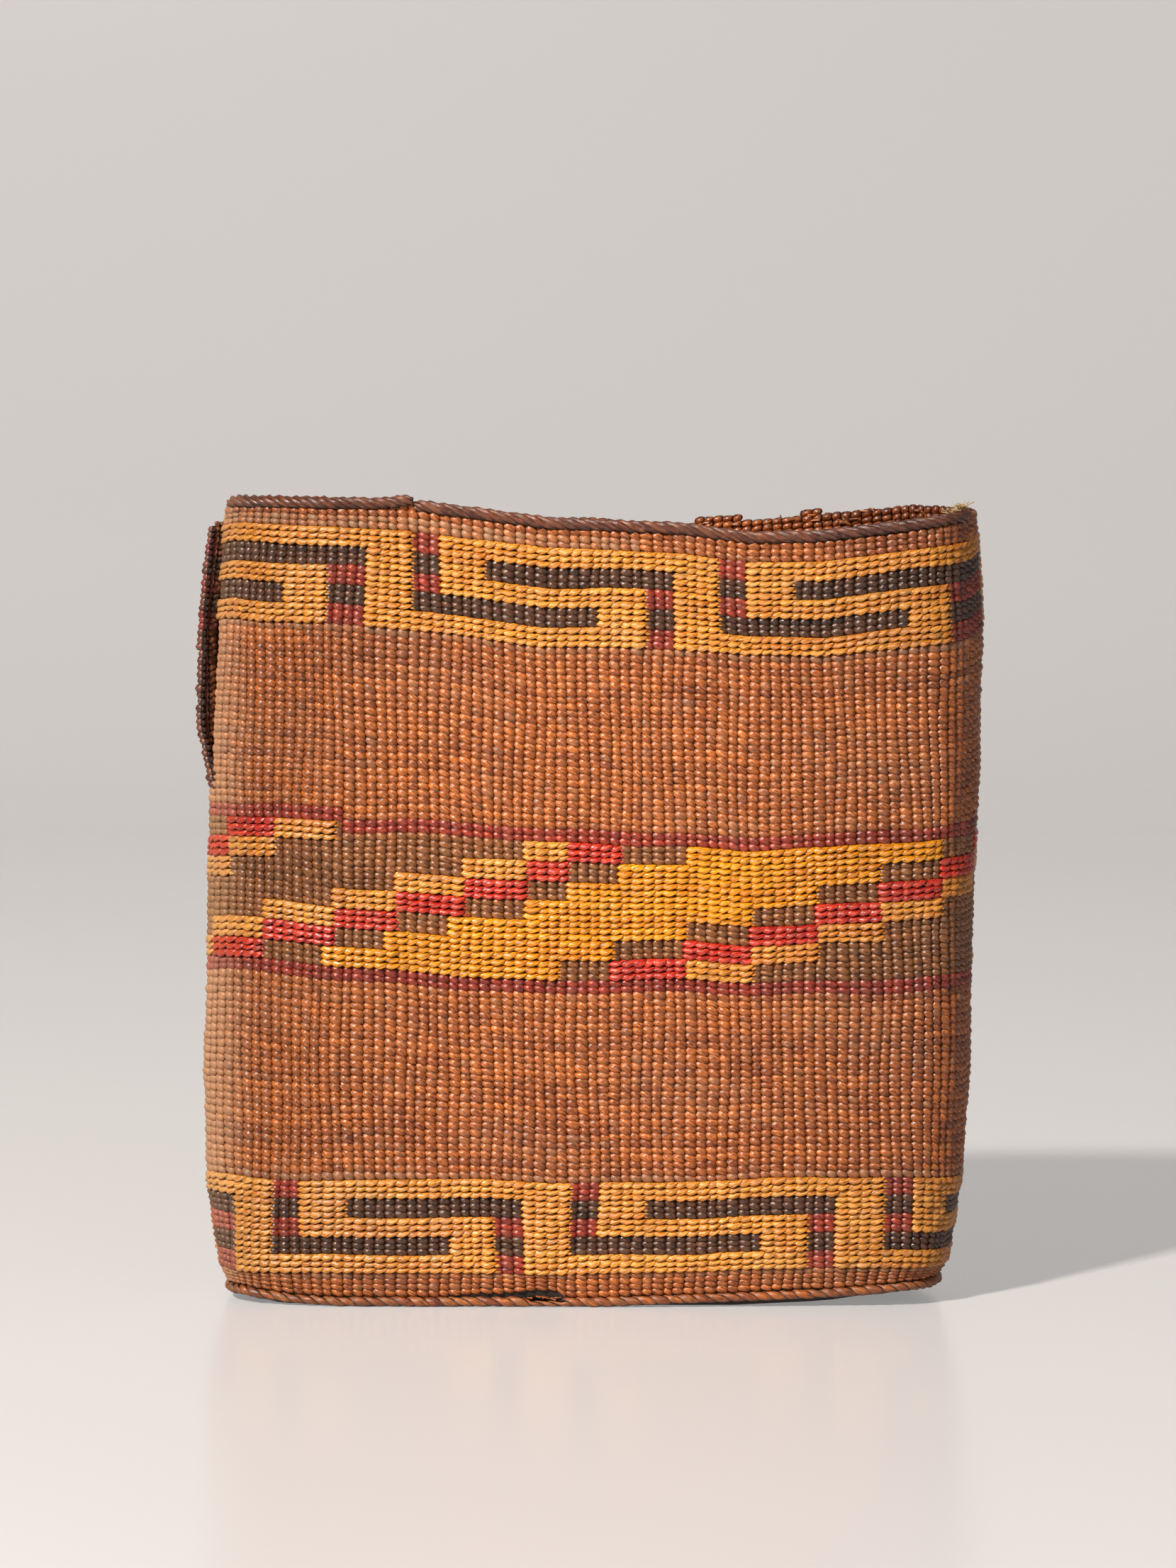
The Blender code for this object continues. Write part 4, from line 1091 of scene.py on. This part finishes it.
# The base: rings of stitches drawn in from the border to a line along the middle
BASE_COURSE = 0.00195
BASE_LINE_REACH = 0.078
DOME_SHARES = ((.2, 1), (.5, .85), (.8, .5), (1, 0))
BASE_COLUMNS_LOST = 4.2
BASE_LOOP_POINTS = 400
BASE_SHAPE = (.62, .56, .20, .03, .75 * MM, 0, 0)


def base_rim():
    """The outline of the base just inside the border rope."""
    columns = np.arange(0, COLUMNS, .5)
    edge = -WALL_THICKNESS / 2 - BORDER_ROPE_WIDTH / 2 - SEAM_CLEARANCE
    return wall(columns, 0 * columns, np.full(len(columns), edge))[:, :2], base_lift(columns)


BASE_OUTLINE, BASE_LIFTS = base_rim()
BASE_HALF = np.abs(BASE_OUTLINE).max(0)


def base_point(angles, inward, up):
    """Points of the base: angles go round from 0 to 1, inward is in metres, up from the underside."""
    places = np.arange(len(BASE_OUTLINE) + 1) / len(BASE_OUTLINE)
    closed = np.vstack([BASE_OUTLINE, BASE_OUTLINE[:1]])
    lifts = np.append(BASE_LIFTS, BASE_LIFTS[0])
    rim_x = np.interp(angles % 1, places, closed[:, 0])
    rim_y = np.interp(angles % 1, places, closed[:, 1])
    lift = np.interp(angles % 1, places, lifts)
    line_x = np.clip(rim_x, -BASE_LINE_REACH, BASE_LINE_REACH)
    share = inward / BASE_HALF[1]
    x = rim_x + (line_x - rim_x) * share
    y = rim_y * (1 - share)
    size = ((x / BASE_HALF[0]) ** 4 + (y / BASE_HALF[1]) ** 4) ** .25
    return joined(x, y, (lift + BASE_UNDERCUT) * size + BASE_DOME * curve(DOME_SHARES, size) + up)


def base_stitches(name, underside, material, nodes):
    """The courses of the base on one of its faces."""
    unit = ROOT_GRAIN[0]
    x, y, z = (unit[None, :, k] for k in range(3))
    length, width, tilt, lean, height, _, _ = BASE_SHAPE
    side = -1 if underside else 1
    angles = []
    inwards = []
    around = np.linspace(0, 1, BASE_LOOP_POINTS)
    for ring in range(int(BASE_HALF[1] / BASE_COURSE)):
        inward = (ring + .5) * BASE_COURSE
        loop = base_point(around, np.full(BASE_LOOP_POINTS, inward), 0)
        run = np.append(0, np.cumsum(np.linalg.norm(np.diff(loop[:, :2], axis=0), axis=1)))
        count = int(run[-1] / COLUMN_PITCH)
        spots = (np.arange(count) + .5 * (ring % 2)) / count * run[-1]
        angles.append(np.interp(spots, run, around))
        inwards.append(np.full(count, inward))
    angles = np.concatenate(angles)
    inwards = np.concatenate(inwards)
    columns = np.round(angles * 1000)
    rows = np.round(inwards / BASE_COURSE)
    pitch = 1 / (COLUMNS - BASE_COLUMNS_LOST * inwards[:, None] / BASE_COURSE)
    tall = height * (.85 + .3 * dice(columns, rows, 3))[:, None]
    turn = tilt + .1 * (dice(columns, rows, 4)[:, None] - .5)
    at_angle = angles[:, None] - side * pitch * (length * x + lean * y)
    at_inward = inwards[:, None] + BASE_COURSE * (width * y + turn * x)
    up = (height - tall * z) if underside else BASE_THICKNESS - height + tall * z
    points = base_point(at_angle, np.clip(at_inward, 0, None), up)
    seed = 9 * dice(columns, rows, 8)[:, None]
    fibre = joined(1.8 * x + 40 * seed, y + 7 * seed, seed)
    # The third mark is the height in the stitch, which the material turns into painted shade in the gaps
    marks = joined(tones(columns, rows, 9)[:, None], .5 * dice(columns, rows, 10)[:, None], z)
    return finish_piece(repeated(name, ROOT_GRAIN, points, fibre, marks), material, nodes)


def base_core(u, v):
    """The warps of the base, between its two faces."""
    points = base_point(u, v * BASE_HALF[1], np.full(len(u), BASE_THICKNESS * .35))
    return points, joined(v * 20, u * 500, 0)


warp_sheet("base_warp_sheet", 2 * COLUMNS, 12, base_core, BASE_THICKNESS * .3, 1)
base_stitches("base_underside_stitches", True, INNER_ROOT, ("base_panel",))
base_stitches("base_inner_stitches", False, INNER_ROOT, ())


# Camera, floor and light
CAMERA_PLACE = (-0.0008, -1.224, 0.2349)
CAMERA_TILT_DEGREES = 4.2
FRAME_HEIGHT_DEGREES = 20.426
FLOOR_LENGTH = 7
FLOOR_HALF_WIDTH = 4
FLOOR_BEFORE = 3
FLOOR_BEHIND = 1.6
BACKDROP_RADIUS = .8
LIT_HEIGHT = .11


def make_camera():
    data = bpy.data.cameras.new("camera")
    data.lens = data.sensor_width / 2 / math.tan(math.radians(FRAME_HEIGHT_DEGREES / 2))
    camera = in_scene("camera", data)
    camera.location = CAMERA_PLACE
    camera.rotation_euler = (math.radians(90 - CAMERA_TILT_DEGREES), 0, 0)
    bpy.context.scene.camera = camera


def make_stage():
    """A pale floor that curves up into the backdrop far behind."""
    form = bmesh.new()
    bmesh.ops.create_grid(form, x_segments=2, y_segments=40, size=1)
    level = FLOOR_BEFORE + FLOOR_BEHIND
    for vertex in form.verts:
        along = (vertex.co.y + 1) / 2 * FLOOR_LENGTH
        if along <= level:
            y, z = along - FLOOR_BEFORE, 0
        else:
            turn = min((along - level) / BACKDROP_RADIUS, math.pi / 2)
            upright = max(along - level - BACKDROP_RADIUS * math.pi / 2, 0)
            y = FLOOR_BEHIND + BACKDROP_RADIUS * math.sin(turn)
            z = BACKDROP_RADIUS * (1 - math.cos(turn)) + upright
        vertex.co = (vertex.co.x * FLOOR_HALF_WIDTH, y, z)
    for face in form.faces:
        face.smooth = True
    mesh = bpy.data.meshes.new("floor")
    form.to_mesh(mesh)
    form.free()
    floor = in_scene("floor", mesh)
    floor.data.materials.append(floor_material())


def floor_material():
    """Painted board with a soft gloss, lifted towards white only where the camera sees it."""
    material = bpy.data.materials.new("pale_floor_board_gloss")
    material.use_nodes = True
    tree = material.node_tree
    surface = tree.nodes["Principled BSDF"]
    surface.inputs["Base Color"].default_value = colour("#CDCBCB")
    surface.inputs["Roughness"].default_value = .22
    path = add(tree, "LightPath", {}, {})
    share = add(tree, "Math", {"operation": "MULTIPLY"}, {0: path.outputs["Is Camera Ray"], 1: .30})
    glow = add(tree, "Emission", {}, {"Color": colour("#F2EFEC"), "Strength": 1})
    mixed = add(tree, "MixShader", {}, {0: share.outputs[0], 1: surface.outputs[0], 2: glow.outputs[0]})
    tree.links.new(mixed.outputs[0], tree.nodes["Material Output"].inputs["Surface"])
    return material


def area_light(name, place, size, power, tint):
    """A square lamp that points at the middle of the basket."""
    data = bpy.data.lights.new(name, "AREA")
    data.size = size
    data.energy = power
    data.color = colour(tint)[:3]
    light = in_scene(name, data)
    light.location = place
    toward = Vector((0, 0, LIT_HEIGHT)) - Vector(place)
    light.rotation_euler = toward.to_track_quat("-Z", "Y").to_euler()


def make_light():
    world = bpy.data.worlds.new("studio")
    world.use_nodes = True
    background = world.node_tree.nodes["Background"]
    background.inputs["Color"].default_value = colour("#ECEAE9")
    background.inputs["Strength"].default_value = .22
    bpy.context.scene.world = world
    area_light("key_left_front", (-1.42, -1.80, 1.95), size=.20, power=148, tint="#FFF7EE")
    area_light("fill_right_front", (1.2, -1.2, .7), size=1.2, power=5, tint="#F3F6FF")


make_camera()
make_stage()
make_light()
bpy.context.scene.view_settings.view_transform = "Standard"
